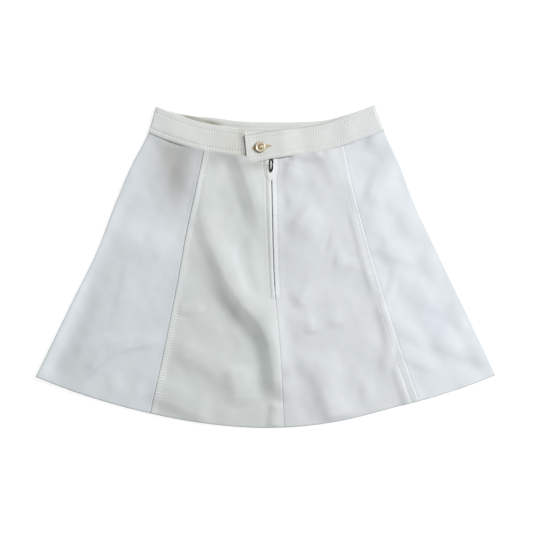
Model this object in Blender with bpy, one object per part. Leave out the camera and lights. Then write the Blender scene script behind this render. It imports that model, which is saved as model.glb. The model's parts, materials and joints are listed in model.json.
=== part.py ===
"""Tennis skirt, laid flat with its zipped back uppermost: one solid for each piece that is cut and sewn.

The skirt is a cone pressed flat, so a place on either layer is given by its angle from the cone's axis
and by its run, the distance down the cloth from the waistband's top edge. The front lies flat at z = 0,
the two side gores wrap round the side folds, and the back lies over the front with its creases raised.
Lengths in the tables are in millimetres and angles in degrees. Everything built is in metres.
"""

from collections import namedtuple

import bmesh
import bpy
import numpy as np

MM = 0.001

# The flattened cone.
TOP_RADIUS = 375.2      # from the cone's apex to the waistband's top edge
SIDE_ANGLE = 24.1       # of the side folds at the hem
BAND_HEIGHT = 38.8
HEM_RUN = 410.2         # from the waistband's top edge to the hem

# Cloth and the loft of the upper layer.
CLOTH = 1.3
BAND_CLOTH = 2.6
LAYER_TOP = 6.4         # height of the upper layer's outer face
BAND_TOP = 7.0
FOLD_REACH = 3.6        # how far the side fold's round edge stands out from the flat layers
GAP = 0.3               # between neighbouring pieces
HEM_TURN = 40.0
WELT_WIDTH = 9.0
WELT_RISE = 0.8
STEP_WIDTH = 0.8        # width of the slope at a change of thickness
PANEL_ROWS = 23         # rows of points down a panel of the upper layer, above its hem

# Back opening.
ZIP_END_RUN = 231.0
SLIT = 1.2
SLIDER_SLIT = 2.1       # extra width of the slit round the slider
PLACKET_WIDTH = 12.0
PLACKET_FREE = 5.0      # the turned-in edge is left thin this far from the slit, over the slider
PLACKET_TURN = 1.0
TAPE = 0.5
TAPE_WIDTH = 12.0
TAPE_DEPTH = 2.6        # from the cloth's outer face to the tape
CHAIN = 1.6
CHAIN_WIDTH = 2.2
TAPE_TOP_RUN = 41.0
TAPE_TAIL = 9.0         # tape below the end of the opening

# Waistband's button tab, which crosses the opening from the right.
TAB_LIFT = 3.1
TAB_FLAT_FROM = 3.0     # angle from which the band has climbed onto its own other end
TAB_CLIMB = 6.0         # angle over which it climbs
TAB_END_TOP = -29.7     # across, from the axis
TAB_END_BOTTOM = -24.4
TAB_DROP = 8.7          # how far the straight tab falls below the curved band at its end
TAB_DROP_FROM = 5.0
TAB_NARROW = 2.8        # height that the tab loses towards its end
TAB_CORNER = 5.0
TAB_CURL = 2.2
TAB_CURL_FROM = -2.0
UNDERLAP_END = 2.0

# Slider and pull, placed by their run down the opening.
SLIDER_RUN = 43.5
SLIDER_LENGTH = 13.5
SLIDER_WIDTH = 8.4
PLATE = 0.6
PLATE_UNDER = 2.1       # height of the lower plate's underside
PLATE_OVER = 4.9        # height of the upper plate's underside
POST_WIDTH = 1.8
POST_LENGTH = 3.0
BRIDGE_WIDTH = 2.2
BRIDGE_LENGTH = 11.1
BRIDGE_LEG = 1.5
BRIDGE_BAR = 0.8
BRIDGE_TOP = 10.05
PULL_AXIS_RUN = 46.3
PULL_AXIS_HEIGHT = 8.1
PULL_THICK = 1.2
PULL_BAR = 1.2          # width of the pull's top bar, round the axis
PULL_LEAN = 3.0
PULL_LENGTH = 28.0
PULL_WIDTH = 11.4       # before it narrows towards its tip
PULL_TAPER = 0.42
EYE_LENGTH = 12.0
EYE_WIDTH = 6.6
EYE_TAPER = 0.1

# Button.
BUTTON_ACROSS = -7.8
BUTTON_RUN = 24.9
BUTTON_BASE = 10.4

# Angles of the seams, and of the side folds' outermost edges, at runs down the cloth.
Line = namedtuple("Line", "run left_fold left_seam zip_line right_seam right_fold")
LINES = (
    Line(0, -24.1, -12.4, 0.85, 15.4, 24.05),
    Line(39, -23.4, -12.25, 0.9, 15.3, 23.7),
    Line(85, -23.75, -12.2, 1.0, 15.0, 23.8),
    Line(150, -23.7, -12.25, 1.02, 14.9, 23.45),
    Line(210, -23.4, -12.0, 1.12, 15.0, 23.65),
    Line(290, -23.7, -11.8, 1.6, 15.35, 23.9),
    Line(411, -24.05, -11.8, 1.85, 16.0, 24.1),
)
# How far the cloth lies below an even cone at its top edge and at its hem, and how far the front lies
# above the back, at angles from left to right.
Edge = namedtuple("Edge", "angle top hem front_rise")
EDGES = (
    Edge(-24.1, 0.0, 3.0, 0.0),
    Edge(-20.0, 0.4, 2.6, 2.6),
    Edge(-15.5, 1.0, 2.2, 6.8),
    Edge(-12.0, 1.0, 2.6, 10.6),
    Edge(-6.0, 0.4, 4.6, 11.0),
    Edge(1.5, 0.0, 6.0, 11.0),
    Edge(7.0, -0.5, 3.8, 8.0),
    Edge(13.0, -0.9, -1.6, 3.4),
    Edge(18.0, -2.6, -1.0, 1.2),
    Edge(24.1, -2.6, 0.7, 0.0),
)
# The apex stands where the laid skirt's middle comes to y = 0.
HIGHEST = (TOP_RADIUS + EDGES[-1].top) * np.cos(np.radians(SIDE_ANGLE))
LOWEST = TOP_RADIUS + HEM_RUN + max(edge.hem for edge in EDGES)
APEX_Y = (HIGHEST + LOWEST) / 2
FRONT_LEFT_SEAM = -15.0
FRONT_RIGHT_SEAM = 12.3

# A crease is a rounded ridge along a path. Its path is given by points (across, down) from the middle of
# the waistband's top edge. `shady` and `lit` are the widths of its two flanks, on the right and on the
# left of someone who walks down the path.
Crease = namedtuple("Crease", "name height shady lit path")
CREASES = (
    Crease("placket", 0.8, 16, 16, ((5, -60), (7, 25), (9, 110), (12, 190), (14, 240))),
    Crease("sweep across the back", 5.2, 25, 46, ((-92, 118), (-52, 196), (-8, 254), (11, 306), (20, 372))),
    Crease("beside the placket", 1.7, 17, 24, ((-46, 34), (-20, 84), (-4, 146))),
    Crease("below the left hip", 2.4, 18, 26, ((-112, 30), (-109, 64), (-118, 106))),
    Crease("left panel, low", 1.8, 16, 26, ((-108, 298), (-72, 324), (-46, 366))),
    Crease("right of the middle, low", 2.4, 18, 26, ((62, 296), (86, 350), (98, 402))),
    Crease("right panel, high", 1.5, 14, 20, ((92, 42), (106, 74), (104, 120))),
    Crease("right hip", 2.2, 13, 18, ((150, 30), (147, 76), (146, 142))),
    Crease("right side, across", 1.8, 13, 26, ((160, 150), (200, 178), (252, 200))),
    Crease("right side, low", 1.8, 13, 28, ((196, 290), (244, 312), (296, 314))),
    Crease("left side, down", 1.8, 15, 26, ((-192, 158), (-198, 224), (-214, 276))),
    Crease("left side, across", 2.0, 26, 15, ((-250, 308), (-212, 298), (-148, 290))),
)


def smooth_curve(at, places, values):
    """Values on the smooth curve (cubic Hermite, with the slopes of its neighbours) through a few places."""
    slopes = np.gradient(values, places)
    before = np.clip(np.searchsorted(places, at, side="right") - 1, 0, len(places) - 2)
    step = places[before + 1] - places[before]
    t = (at - places[before]) / step
    start = values[before] * (1 + 2 * t) * (1 - t) ** 2 + slopes[before] * step * t * (1 - t) ** 2
    end = values[before + 1] * t**2 * (3 - 2 * t) + slopes[before + 1] * step * t**2 * (t - 1)
    return start + end


def line(name, run):
    """Angle of a seam or of a side fold's outermost edge at a run down the cloth."""
    runs = np.array([row.run for row in LINES], float)
    return smooth_curve(run, runs, np.array([getattr(row, name) for row in LINES]))


def edge_shift(name, angle):
    """One of the shifts of EDGES at an angle."""
    angles = np.array([row.angle for row in EDGES])
    shifts = np.array([getattr(row, name) for row in EDGES])
    return smooth_curve(np.clip(angle, angles[0], angles[-1]), angles, shifts)


def across_to_angle(across, run):
    return np.degrees(across / (TOP_RADIUS + run))


def fade(value, start, end):
    """0 before start, 1 after end, and a smooth step between."""
    t = np.clip((value - start) / (end - start), 0, 1)
    return t * t * (3 - 2 * t)


def place(angle, run, front=False):
    """(x, y) of a place on the back layer, or on the front one, which lies a little higher at its middle."""
    share = run / HEM_RUN
    down = run + edge_shift("top", angle) * (1 - share) + edge_shift("hem", angle) * share**2
    if front:
        down = down - edge_shift("front_rise", angle)
    radius = TOP_RADIUS + down
    turn = np.radians(angle)
    return radius * np.sin(turn), APEX_Y - radius * np.cos(turn)


def ridge(crease, x, y):
    """Height of one crease: a raised cosine across its path, fading in and out along it."""
    knots = np.array(crease.path, float)
    at = np.linspace(0, len(knots) - 1, 6 * len(knots))
    whole = np.arange(len(knots), dtype=float)
    path_x = smooth_curve(at, whole, knots[:, 0])
    path_y = APEX_Y - TOP_RADIUS - smooth_curve(at, whole, knots[:, 1])
    step_x, step_y = np.diff(path_x), np.diff(path_y)
    off_x = x[..., None] - path_x[:-1]
    off_y = y[..., None] - path_y[:-1]
    along = np.clip((off_x * step_x + off_y * step_y) / (step_x**2 + step_y**2), 0, 1)
    far_x, far_y = off_x - along * step_x, off_y - along * step_y
    distance = np.hypot(far_x, far_y)
    nearest = distance.argmin(axis=-1)[..., None]
    near = np.take_along_axis(distance, nearest, -1)[..., 0]
    side = np.take_along_axis(step_x * off_y - step_y * off_x, nearest, -1)[..., 0]
    share = (nearest[..., 0] + np.take_along_axis(along, nearest, -1)[..., 0]) / len(step_x)
    width = np.where(side < 0, crease.shady, crease.lit)
    bump = 0.5 + 0.5 * np.cos(np.pi * np.clip(near / width, 0, 1))
    return crease.height * bump * fade(share, -0.05, 0.3) * fade(-share, -1.05, -0.75)


def layer_top(x, y):
    return LAYER_TOP + sum(ridge(crease, x, y) for crease in CREASES)


def facing_up(x, y):
    """Normals of the upper layer's outer face, from its slopes over half a millimetre."""
    reach = 0.5
    slope_x = (layer_top(x + reach, y) - layer_top(x - reach, y)) / (2 * reach)
    slope_y = (layer_top(x, y + reach) - layer_top(x, y - reach)) / (2 * reach)
    normal = np.stack([-slope_x, -slope_y, np.ones_like(x)], axis=-1)
    return normal / np.linalg.norm(normal, axis=-1, keepdims=True)


def material(name, colour, roughness, metallic=0.0):
    made = bpy.data.materials.new(name)
    made.use_nodes = True
    shader = made.node_tree.nodes["Principled BSDF"]
    shader.inputs["Base Color"].default_value = (*colour, 1)
    shader.inputs["Roughness"].default_value = roughness
    shader.inputs["Metallic"].default_value = metallic
    return made


def add_object(name, mesh, finish):
    mesh.materials.append(finish)
    mesh.shade_smooth()
    mesh.set_sharp_from_angle(angle=np.radians(30))
    made = bpy.data.objects.new(name, mesh)
    bpy.context.collection.objects.link(made)
    return made


def face_outwards(mesh):
    shape = bmesh.new()
    shape.from_mesh(mesh)
    bmesh.ops.recalc_face_normals(shape, faces=shape.faces)
    shape.to_mesh(mesh)
    shape.free()


def wall(name, outer, outward, thickness, finish):
    """A closed wall of cloth: `outer` is a grid of points on its outer face, with their normals, and the
    inner face lies `thickness` behind them. The two faces are joined all round by a rim."""
    inner = outer - outward * thickness[..., None]
    rows, columns = outer.shape[:2]
    points = np.concatenate([outer.reshape(-1, 3), inner.reshape(-1, 3)]) * MM
    front = np.arange(rows * columns).reshape(rows, columns)
    back = front + rows * columns

    def quads(grid):
        corners = grid[:-1, :-1], grid[:-1, 1:], grid[1:, 1:], grid[1:, :-1]
        return np.stack(corners, axis=-1).reshape(-1, 4)

    def around(grid):
        return np.concatenate([grid[0, :-1], grid[:-1, -1], grid[-1, :0:-1], grid[:0:-1, 0]])

    rim_front, rim_back = around(front), around(back)
    rim = np.stack([rim_front, np.roll(rim_front, -1), np.roll(rim_back, -1), rim_back], axis=-1)
    faces = np.concatenate([quads(front), quads(back)[:, ::-1], rim])
    mesh = bpy.data.meshes.new(name)
    mesh.from_pydata(points.tolist(), [], faces.tolist())
    face_outwards(mesh)
    return add_object(name, mesh, finish)


def panel_runs(rows):
    """Runs of a panel's rows: even down to the hem's turned-up edge, where its thickness steps."""
    turn = HEM_RUN - HEM_TURN
    even = np.linspace(BAND_HEIGHT + GAP / 2, turn - STEP_WIDTH / 2, rows)
    return np.append(even, [turn + STEP_WIDTH / 2, (turn + HEM_RUN) / 2, HEM_RUN])


def hem_turn(run):
    """Extra thickness of the hem's turned-up cloth."""
    return CLOTH * (run > HEM_RUN - HEM_TURN)


def slit_half(run):
    """Half the opening's width: a narrow slit, wider above and round the slider, closing to a seam below."""
    closing = fade(run, ZIP_END_RUN - 4, ZIP_END_RUN)
    slider_end = SLIDER_RUN + SLIDER_LENGTH
    wide = SLIDER_SLIT / 2 * (1 - fade(run, slider_end, slider_end + SLIDER_LENGTH))
    return (SLIT / 2 + wide) * (1 - closing) + GAP / 2 * closing


def back_panel(name, outer_seam, side, finish):
    """A back centre panel. `side` is -1 left of the opening and 1 right of it. Its columns are fixed
    distances from the opening, then even shares, then fixed distances from the princess seam, along
    which the allowances lie under it and raise a welt."""
    run = panel_runs(PANEL_ROWS)[:, None]
    opening, seam = line("zip_line", run), line(outer_seam, run)
    placket = PLACKET_FREE, PLACKET_FREE + STEP_WIDTH, PLACKET_WIDTH, PLACKET_WIDTH + STEP_WIDTH
    beside_opening = np.hstack([slit_half(run), np.broadcast_to(placket, (len(run), len(placket)))])
    shares = np.linspace(0.22, 0.82, 7)
    beside_seam = np.array([WELT_WIDTH + STEP_WIDTH, WELT_WIDTH, GAP / 2])
    angle = np.hstack([
        opening + side * across_to_angle(beside_opening, run),
        opening + (seam - opening) * shares,
        seam - side * across_to_angle(beside_seam, run),
    ])
    x, y = place(angle, run)
    outward = facing_up(x, y)
    outer = np.dstack([x, y, layer_top(x, y)])
    welt = np.zeros(angle.shape[1])
    welt[-2:] = WELT_RISE
    outer = outer + outward * welt[:, None]
    turned = np.zeros(angle.shape)
    turned[:, 2:4] = PLACKET_TURN * (run < ZIP_END_RUN + TAPE_TAIL)
    thickness = CLOTH + welt + hem_turn(run) + turned
    return wall(name, outer, outward, thickness, finish)


def side_fold(angle_edge, run, side, top):
    """Points and normals round a side fold: half an ellipse from the upper layer's edge down to z = 0."""
    turn = np.radians(np.array([90, 60, 30, 0, -30, -60, -90]))
    half = np.broadcast_to(top / 2, (len(run), 1))
    out = -FOLD_REACH * (1 - np.cos(turn))
    x, y = place(angle_edge + side * across_to_angle(out, run), run)
    z = half * (1 + np.sin(turn))
    flat = np.broadcast_to(np.cos(turn) / FOLD_REACH, z.shape)
    rise = np.sin(turn) / half
    length = np.hypot(flat, rise)
    tilt = np.radians(angle_edge)
    normal = np.stack([side * np.cos(tilt) * flat, side * np.sin(tilt) * flat, rise], axis=-1)
    return np.dstack([x, y, z]), normal / length[..., None]


def side_gore(name, back_seam, fold, front_seam, side, finish):
    """A side gore, from the back princess seam round the side fold to the front princess seam."""
    run = panel_runs(PANEL_ROWS)[:, None]
    seam, edge = line(back_seam, run), line(fold, run)
    inset = across_to_angle(FOLD_REACH, run)
    start = seam + side * across_to_angle(GAP / 2, run)
    upper = start + (edge - side * inset - start) * np.linspace(0, 1, 9)
    x, y = place(upper, run)
    top = layer_top(x, y)
    fold_points, fold_normals = side_fold(edge, run, side, top[:, -1:])
    end = front_seam + side * across_to_angle(GAP / 2, run)
    lower = edge - side * inset + (end - edge + side * inset) * np.linspace(0, 1, 5)
    lower_x, lower_y = place(lower, run, front=True)
    lower_points = np.dstack([lower_x, lower_y, np.zeros_like(lower_x)])
    down = np.broadcast_to([0.0, 0.0, -1.0], lower_points.shape)
    outer = np.hstack([np.dstack([x, y, top])[:, :-1], fold_points, lower_points[:, 1:]])
    outward = np.hstack([facing_up(x, y)[:, :-1], fold_normals, down[:, 1:]])
    thickness = CLOTH + hem_turn(run) + np.zeros(outer.shape[:2])
    return wall(name, outer, outward, thickness, finish)


def front_panel(finish):
    """The front's centre gore, flat on its outer face."""
    run = panel_runs(6)[:, None]
    inset = across_to_angle(GAP / 2, run)
    left, right = FRONT_LEFT_SEAM + inset, FRONT_RIGHT_SEAM - inset
    x, y = place(left + (right - left) * np.linspace(0, 1, 13), run, front=True)
    outer = np.dstack([x, y, np.zeros_like(x)])
    outward = np.broadcast_to([0.0, 0.0, -1.0], outer.shape)
    thickness = CLOTH + hem_turn(run) + np.zeros(outer.shape[:2])
    return wall("front", outer, outward, thickness, finish)


def tab_stretch(run):
    """Angles, runs and heights of the waistband from its right-hand part onto the free end of its tab."""
    down = run / BAND_HEIGHT
    corner = np.clip((run - (BAND_HEIGHT - TAB_CORNER)) / TAB_CORNER, 0, 1)
    end = TAB_END_TOP + (TAB_END_BOTTOM - TAB_END_TOP) * down
    end = end + TAB_CORNER * (1 - np.sqrt(1 - (0.95 * corner) ** 2))
    end_angle = across_to_angle(end, run)
    start_angle = TAB_FLAT_FROM + TAB_CLIMB
    angle = start_angle + (end_angle - start_angle) * np.linspace(0, 1, 15)
    past = np.clip((TAB_DROP_FROM - angle) / (TAB_DROP_FROM - across_to_angle(TAB_END_TOP, 0)), 0, 1)
    tab_run = run + TAB_DROP * past**2 - TAB_NARROW * down * past**2
    climbed = 1 - fade(angle, TAB_FLAT_FROM, TAB_FLAT_FROM + TAB_CLIMB)
    curled = np.clip((TAB_CURL_FROM - angle) / (TAB_CURL_FROM - across_to_angle(TAB_END_TOP, 0)), 0, 1)
    return angle, tab_run, BAND_TOP + TAB_LIFT * climbed + TAB_CURL * curled**2


def waistband(finish):
    """The waistband: one strip from its underlap, left round the skirt, to the tab over the opening."""
    run = np.array([0.0, 8, 16, 24, 31, 35, 38])[:, None]
    run = run * (BAND_HEIGHT - GAP / 2) / run.max()
    stretches = []
    inset = across_to_angle(FOLD_REACH, run)
    left, right = line("left_fold", run), line("right_fold", run)
    upper_left = UNDERLAP_END + (left + inset - UNDERLAP_END) * np.linspace(0, 1, 13)
    x, y = place(upper_left, run)
    stretches.append(np.dstack([x, y, np.full_like(x, BAND_TOP)])[:, :-1])
    stretches.append(side_fold(left, run, -1, BAND_TOP)[0])
    lower = left + inset + (right - left - 2 * inset) * np.linspace(0, 1, 17)
    x, y = place(lower, run, front=True)
    stretches.append(np.dstack([x, y, np.zeros_like(x)])[:, 1:-1])
    stretches.append(side_fold(right, run, 1, BAND_TOP)[0][:, ::-1])
    angle, tab_run, height = tab_stretch(run)
    upper_right = right - inset + (angle[:, :1] - right + inset) * np.linspace(0, 1, 8)
    x, y = place(upper_right, run)
    stretches.append(np.dstack([x, y, np.full_like(x, BAND_TOP)])[:, 1:-1])
    x, y = place(angle, tab_run)
    stretches.append(np.dstack([x, y, height]))
    outer = np.hstack(stretches)
    outward = np.cross(np.gradient(outer, axis=0), np.gradient(outer, axis=1))
    outward /= np.linalg.norm(outward, axis=-1, keepdims=True)
    if outward[0, 0, 2] < 0:
        outward = -outward
    return wall("waistband", outer, outward, np.full(outer.shape[:2], BAND_CLOTH), finish)


def zip_tape(name, side, finish):
    """Half of the zip: the tape behind one edge of the opening, made from the panel's points moved in,
    with the chain as a thicker bead along its inner edge. The chain parts round the slider's post."""
    post_end = SLIDER_RUN + POST_LENGTH + 2 * GAP
    joined = post_end + POST_LENGTH
    tape_end = ZIP_END_RUN + TAPE_TAIL
    shared = panel_runs(PANEL_ROWS)
    shared = shared[(shared > joined) & (shared < tape_end)]
    run = np.concatenate([[TAPE_TOP_RUN, post_end, joined], shared, [tape_end]])[:, None]
    columns = np.array([
        GAP / 2, CHAIN_WIDTH, CHAIN_WIDTH + GAP, PLACKET_FREE, PLACKET_FREE + STEP_WIDTH, TAPE_WIDTH])
    parting = (POST_WIDTH / 2 + GAP) * (1 - fade(run, post_end, joined))
    across = columns + parting * (columns < PLACKET_FREE)
    angle = line("zip_line", run) + side * across_to_angle(across, run)
    x, y = place(angle, run)
    outward = facing_up(x, y)
    outer = np.dstack([x, y, layer_top(x, y)]) - outward * TAPE_DEPTH
    thickness = np.where(columns <= CHAIN_WIDTH, CHAIN, TAPE) + np.zeros(angle.shape)
    return wall(name, outer, outward, thickness, finish)


def opening_point(run, height, across=0.0):
    """A point over the opening's line, in metres."""
    angle = line("zip_line", np.array(run, float)) + across_to_angle(across, run)
    x, y = place(angle, run)
    return np.array([x, y, height]) * MM


def block(name, size, centre, bevel=0.0):
    """A box with rounded edges, as a mesh of its own."""
    shape = bmesh.new()
    bmesh.ops.create_cube(shape, size=1.0)
    bmesh.ops.scale(shape, vec=np.array(size) * MM, verts=shape.verts)
    bmesh.ops.translate(shape, vec=np.array(centre) * MM, verts=shape.verts)
    if bevel:
        bmesh.ops.bevel(shape, geom=shape.edges[:], offset=bevel * MM, segments=1, affect="EDGES")
    mesh = bpy.data.meshes.new(name)
    shape.to_mesh(mesh)
    shape.free()
    return mesh


def union(target, helper):
    """Adds a helper object's shape to the target."""
    helper.hide_render = True
    helper.display_type = "WIRE"
    helper.parent = target
    joined = target.modifiers.new(helper.name, "BOOLEAN")
    joined.operation = "UNION"
    joined.solver = "EXACT"
    joined.object = helper


def zip_slider(finish):
    """The slider: a plate above and a plate below the chain, the post between them that parts the chain,
    and the bridge over the upper plate that holds the pull."""
    middle = SLIDER_RUN + SLIDER_LENGTH / 2
    size = SLIDER_WIDTH, SLIDER_LENGTH, PLATE
    slider = add_object(
        "zip_slider", block("zip_slider", size, (0, 0, PLATE_UNDER + PLATE / 2), 0.15), finish)
    slider.location = opening_point(middle, 0.0)
    over = block("upper_plate", size, (0, 0, PLATE_OVER + PLATE / 2), 0.15)
    post_height = PLATE_OVER - PLATE_UNDER
    post = block("post", (POST_WIDTH, POST_LENGTH, post_height),
                 (0, (SLIDER_LENGTH - POST_LENGTH) / 2 - 0.3, PLATE_UNDER + PLATE / 2 + post_height / 2))
    leg_height = BRIDGE_TOP - PLATE_OVER - PLATE / 2
    leg_centre = BRIDGE_TOP - leg_height / 2
    bridge_middle = (SLIDER_LENGTH - BRIDGE_LENGTH) / 2 + 0.1
    leg_at = (BRIDGE_LENGTH - BRIDGE_LEG) / 2
    leg_size = BRIDGE_WIDTH, BRIDGE_LEG, leg_height - 0.1
    top_leg = block("bridge_top_leg", leg_size, (0, bridge_middle + leg_at, leg_centre - 0.05))
    low_leg = block("bridge_low_leg", leg_size, (0, bridge_middle - leg_at, leg_centre - 0.05))
    bar = block("bridge_bar", (BRIDGE_WIDTH + 0.1, BRIDGE_LENGTH + 0.1, BRIDGE_BAR),
                (0, bridge_middle, BRIDGE_TOP - BRIDGE_BAR / 2), 0.25)
    for mesh in (over, post, top_leg, low_leg, bar):
        union(slider, add_object(mesh.name, mesh, finish))
    return slider


def teardrop(length, width, taper, count):
    """Outline of a drop: an oval, narrowed by its taper from its round top to its tip."""
    turn = np.linspace(0, 2 * np.pi, count, endpoint=False)
    down = length / 2 * (1 - np.cos(turn))
    across = width / 2 * np.sin(turn) * (1 - taper * down / length)
    return across, -down


def zip_pull(finish):
    """The pull: a flat drop with a drop-shaped opening for the slider's bridge. Its origin is on the axis."""
    count = 24
    outer_x, outer_y = teardrop(PULL_LENGTH, PULL_WIDTH, PULL_TAPER, count)
    inner_x, inner_y = teardrop(EYE_LENGTH, EYE_WIDTH, EYE_TAPER, count)
    outer_y = outer_y + PULL_BAR / 2
    inner_y = inner_y - PULL_BAR / 2
    lean = np.radians(PULL_LEAN)
    points = []
    for flat, along in ((outer_x, outer_y), (inner_x, inner_y)):
        x = flat * np.cos(lean) + along * np.sin(lean)
        y = along * np.cos(lean) - flat * np.sin(lean)
        for height in (PULL_THICK / 2, -PULL_THICK / 2):
            points.append(np.stack([x, y, np.full(count, height)], axis=-1))
    this = np.arange(count)
    after = np.roll(this, -1)
    outer_top, outer_low, inner_top, inner_low = (count * k for k in range(4))

    def band(a, b):
        return np.stack([a + this, a + after, b + after, b + this], axis=-1)

    faces = np.concatenate([
        band(outer_top, inner_top), band(inner_top, inner_low), band(inner_low, outer_low),
        band(outer_low, outer_top)])
    mesh = bpy.data.meshes.new("zip_pull")
    mesh.from_pydata((np.concatenate(points) * MM).tolist(), [], faces.tolist())
    face_outwards(mesh)
    pull = add_object("zip_pull", mesh, finish)
    pull.location = opening_point(PULL_AXIS_RUN, PULL_AXIS_HEIGHT)
    return pull


def button(finish):
    """The button: a turned profile with a rounded rim, a dished face and a small boss."""
    Turn = namedtuple("Turn", "radius height")
    profile = (
        Turn(0, 3.1), Turn(1.3, 2.9), Turn(1.9, 2.0), Turn(4.2, 1.8), Turn(5.0, 2.6), Turn(5.9, 3.2),
        Turn(6.9, 2.9), Turn(7.6, 2.1), Turn(7.7, 1.2), Turn(7.0, 0.4), Turn(5.0, 0), Turn(0, 0))
    shape = bmesh.new()
    points = [shape.verts.new((turn.radius * MM, 0, turn.height * MM)) for turn in profile]
    edges = [shape.edges.new(pair) for pair in zip(points, points[1:])]
    bmesh.ops.spin(shape, geom=points + edges, cent=(0, 0, 0), axis=(0, 0, 1), angle=2 * np.pi, steps=24)
    bmesh.ops.remove_doubles(shape, verts=shape.verts, dist=0.01 * MM)
    bmesh.ops.recalc_face_normals(shape, faces=shape.faces)
    mesh = bpy.data.meshes.new("button")
    shape.to_mesh(mesh)
    shape.free()
    made = add_object("button", mesh, finish)
    y = APEX_Y - TOP_RADIUS - BUTTON_RUN
    made.location = np.array([BUTTON_ACROSS, y, BUTTON_BASE]) * MM
    return made


def clear_scene():
    for leftover in list(bpy.data.objects):
        bpy.data.objects.remove(leftover)


def main():
    clear_scene()
    knit = material("white_double_knit", (0.80, 0.82, 0.81), 0.85)
    band_knit = material("white_waistband_knit", (0.80, 0.81, 0.77), 0.85)
    tape_weave = material("white_zip_tape", (0.82, 0.82, 0.80), 0.8)
    enamel = material("white_enamelled_metal", (0.85, 0.85, 0.83), 0.3)
    brass = material("gold_coloured_metal", (0.80, 0.62, 0.34), 0.25, 1.0)
    back_panel("back_left", "left_seam", -1, knit)
    back_panel("back_right", "right_seam", 1, knit)
    side_gore("side_left", "left_seam", "left_fold", FRONT_LEFT_SEAM, -1, knit)
    side_gore("side_right", "right_seam", "right_fold", FRONT_RIGHT_SEAM, 1, knit)
    front_panel(knit)
    waistband(band_knit)
    zip_tape("zip_tape_left", -1, tape_weave)
    zip_tape("zip_tape_right", 1, tape_weave)
    zip_slider(enamel)
    zip_pull(enamel)
    button(brass)


main()
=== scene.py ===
"""Tennis skirt, laid flat with its zipped back uppermost: the finished cloth, sewing and metal.

The skirt is a cone pressed flat, so a place on either layer is given by its angle from the cone's axis
and by its run, the distance down the cloth from the waistband's top edge. Tables and named sizes are in
millimetres and degrees. Meshes are built in metres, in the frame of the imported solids.
"""

import json
from collections import namedtuple
from functools import lru_cache

import bpy
import numpy as np
from bpy.props import FloatProperty, FloatVectorProperty, PointerProperty
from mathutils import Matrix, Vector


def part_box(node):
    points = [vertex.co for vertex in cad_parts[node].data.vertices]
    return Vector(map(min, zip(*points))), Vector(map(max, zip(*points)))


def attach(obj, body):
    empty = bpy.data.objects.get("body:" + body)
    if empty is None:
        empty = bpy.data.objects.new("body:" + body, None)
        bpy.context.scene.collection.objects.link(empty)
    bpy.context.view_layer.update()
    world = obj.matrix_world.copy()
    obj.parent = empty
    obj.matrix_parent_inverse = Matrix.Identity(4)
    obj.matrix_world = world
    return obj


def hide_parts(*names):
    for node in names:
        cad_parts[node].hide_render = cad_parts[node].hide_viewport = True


bl_info = {
    "name": "Laid tennis skirt",
    "version": (1, 0, 0),
    "blender": (4, 5, 0),
    "location": "3D View > Sidebar > Skirt",
    "description": "Knit gores, waistband, topstitching, zip and button of a tennis skirt laid flat",
    "category": "Add Mesh",
}

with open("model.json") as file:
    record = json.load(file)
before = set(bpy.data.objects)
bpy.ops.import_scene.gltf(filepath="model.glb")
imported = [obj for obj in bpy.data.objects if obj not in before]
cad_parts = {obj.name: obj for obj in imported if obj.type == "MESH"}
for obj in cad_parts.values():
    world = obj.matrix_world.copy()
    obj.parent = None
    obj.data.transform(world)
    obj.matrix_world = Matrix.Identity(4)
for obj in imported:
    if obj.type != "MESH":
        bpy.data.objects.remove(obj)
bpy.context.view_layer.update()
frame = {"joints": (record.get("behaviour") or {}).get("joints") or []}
MM = 0.001
SIDES = ((-1, "left"), (1, "right"))    # of the back opening
SHARPEST = np.radians(50)       # sharper edges aren't shaded smooth
WAVE_PERIOD = 0.314159          # of the wave texture at scale 1

# The flattened cone.
TOP_RADIUS = 375.2      # from the cone's apex to the waistband's top edge
SIDE_ANGLE = 24.1       # of the side folds at the hem
BAND_HEIGHT = 38.8
HEM_RUN = 410.2         # from the waistband's top edge to the hem

# Cloth and the loft of the upper layer.
CLOTH = 1.3
BAND_CLOTH = 2.6
LAYER_TOP = 6.4         # height of the upper layer's outer face
BAND_TOP = 7.0
FOLD_REACH = 3.6        # how far a side fold's round edge stands out from the flat layers
FOLD_SQUARE = 0.36      # 1 would be an ellipse, and less is squarer
GAP = 0.3               # between neighbouring pieces
BAND_LAST = BAND_HEIGHT - GAP / 2   # run of the waistband's lower edge
HEM_TURN = 40.0
HEM_ROUND = 2.6         # length of the rounding into the hem's fold
WALL_LEAST = 0.1        # thickness left where a fold closes
CENTRE_ROWS = 0.96      # spacing of a centre gore's rows of points
SIDE_ROWS = 1.4
FRONT_ROWS = 2.6
OUTER_DRAW = 0.6        # share of a gore's rounding into its hem that its outer face takes
INNER_DRAW = 1.4        # and its inner face

# Back opening and zip.
ZIP_END_RUN = 231.0
SLIT = 0.74             # width of the opening
SLIDER_SLIT = 4.9       # extra width of the slit round the slider
SLIDER_RUN = 43.5
SLIDER_LENGTH = 13.5
PLACKET_TURN = 1.0      # extra thickness of its turned-in cloth
TAPE = 0.5
TAPE_DEPTH = 2.6        # from the cloth's outer face to the tape
TAPE_TOP_RUN = 41.0
TAPE_TAIL = 9.0         # tape below the end of the opening

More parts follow.
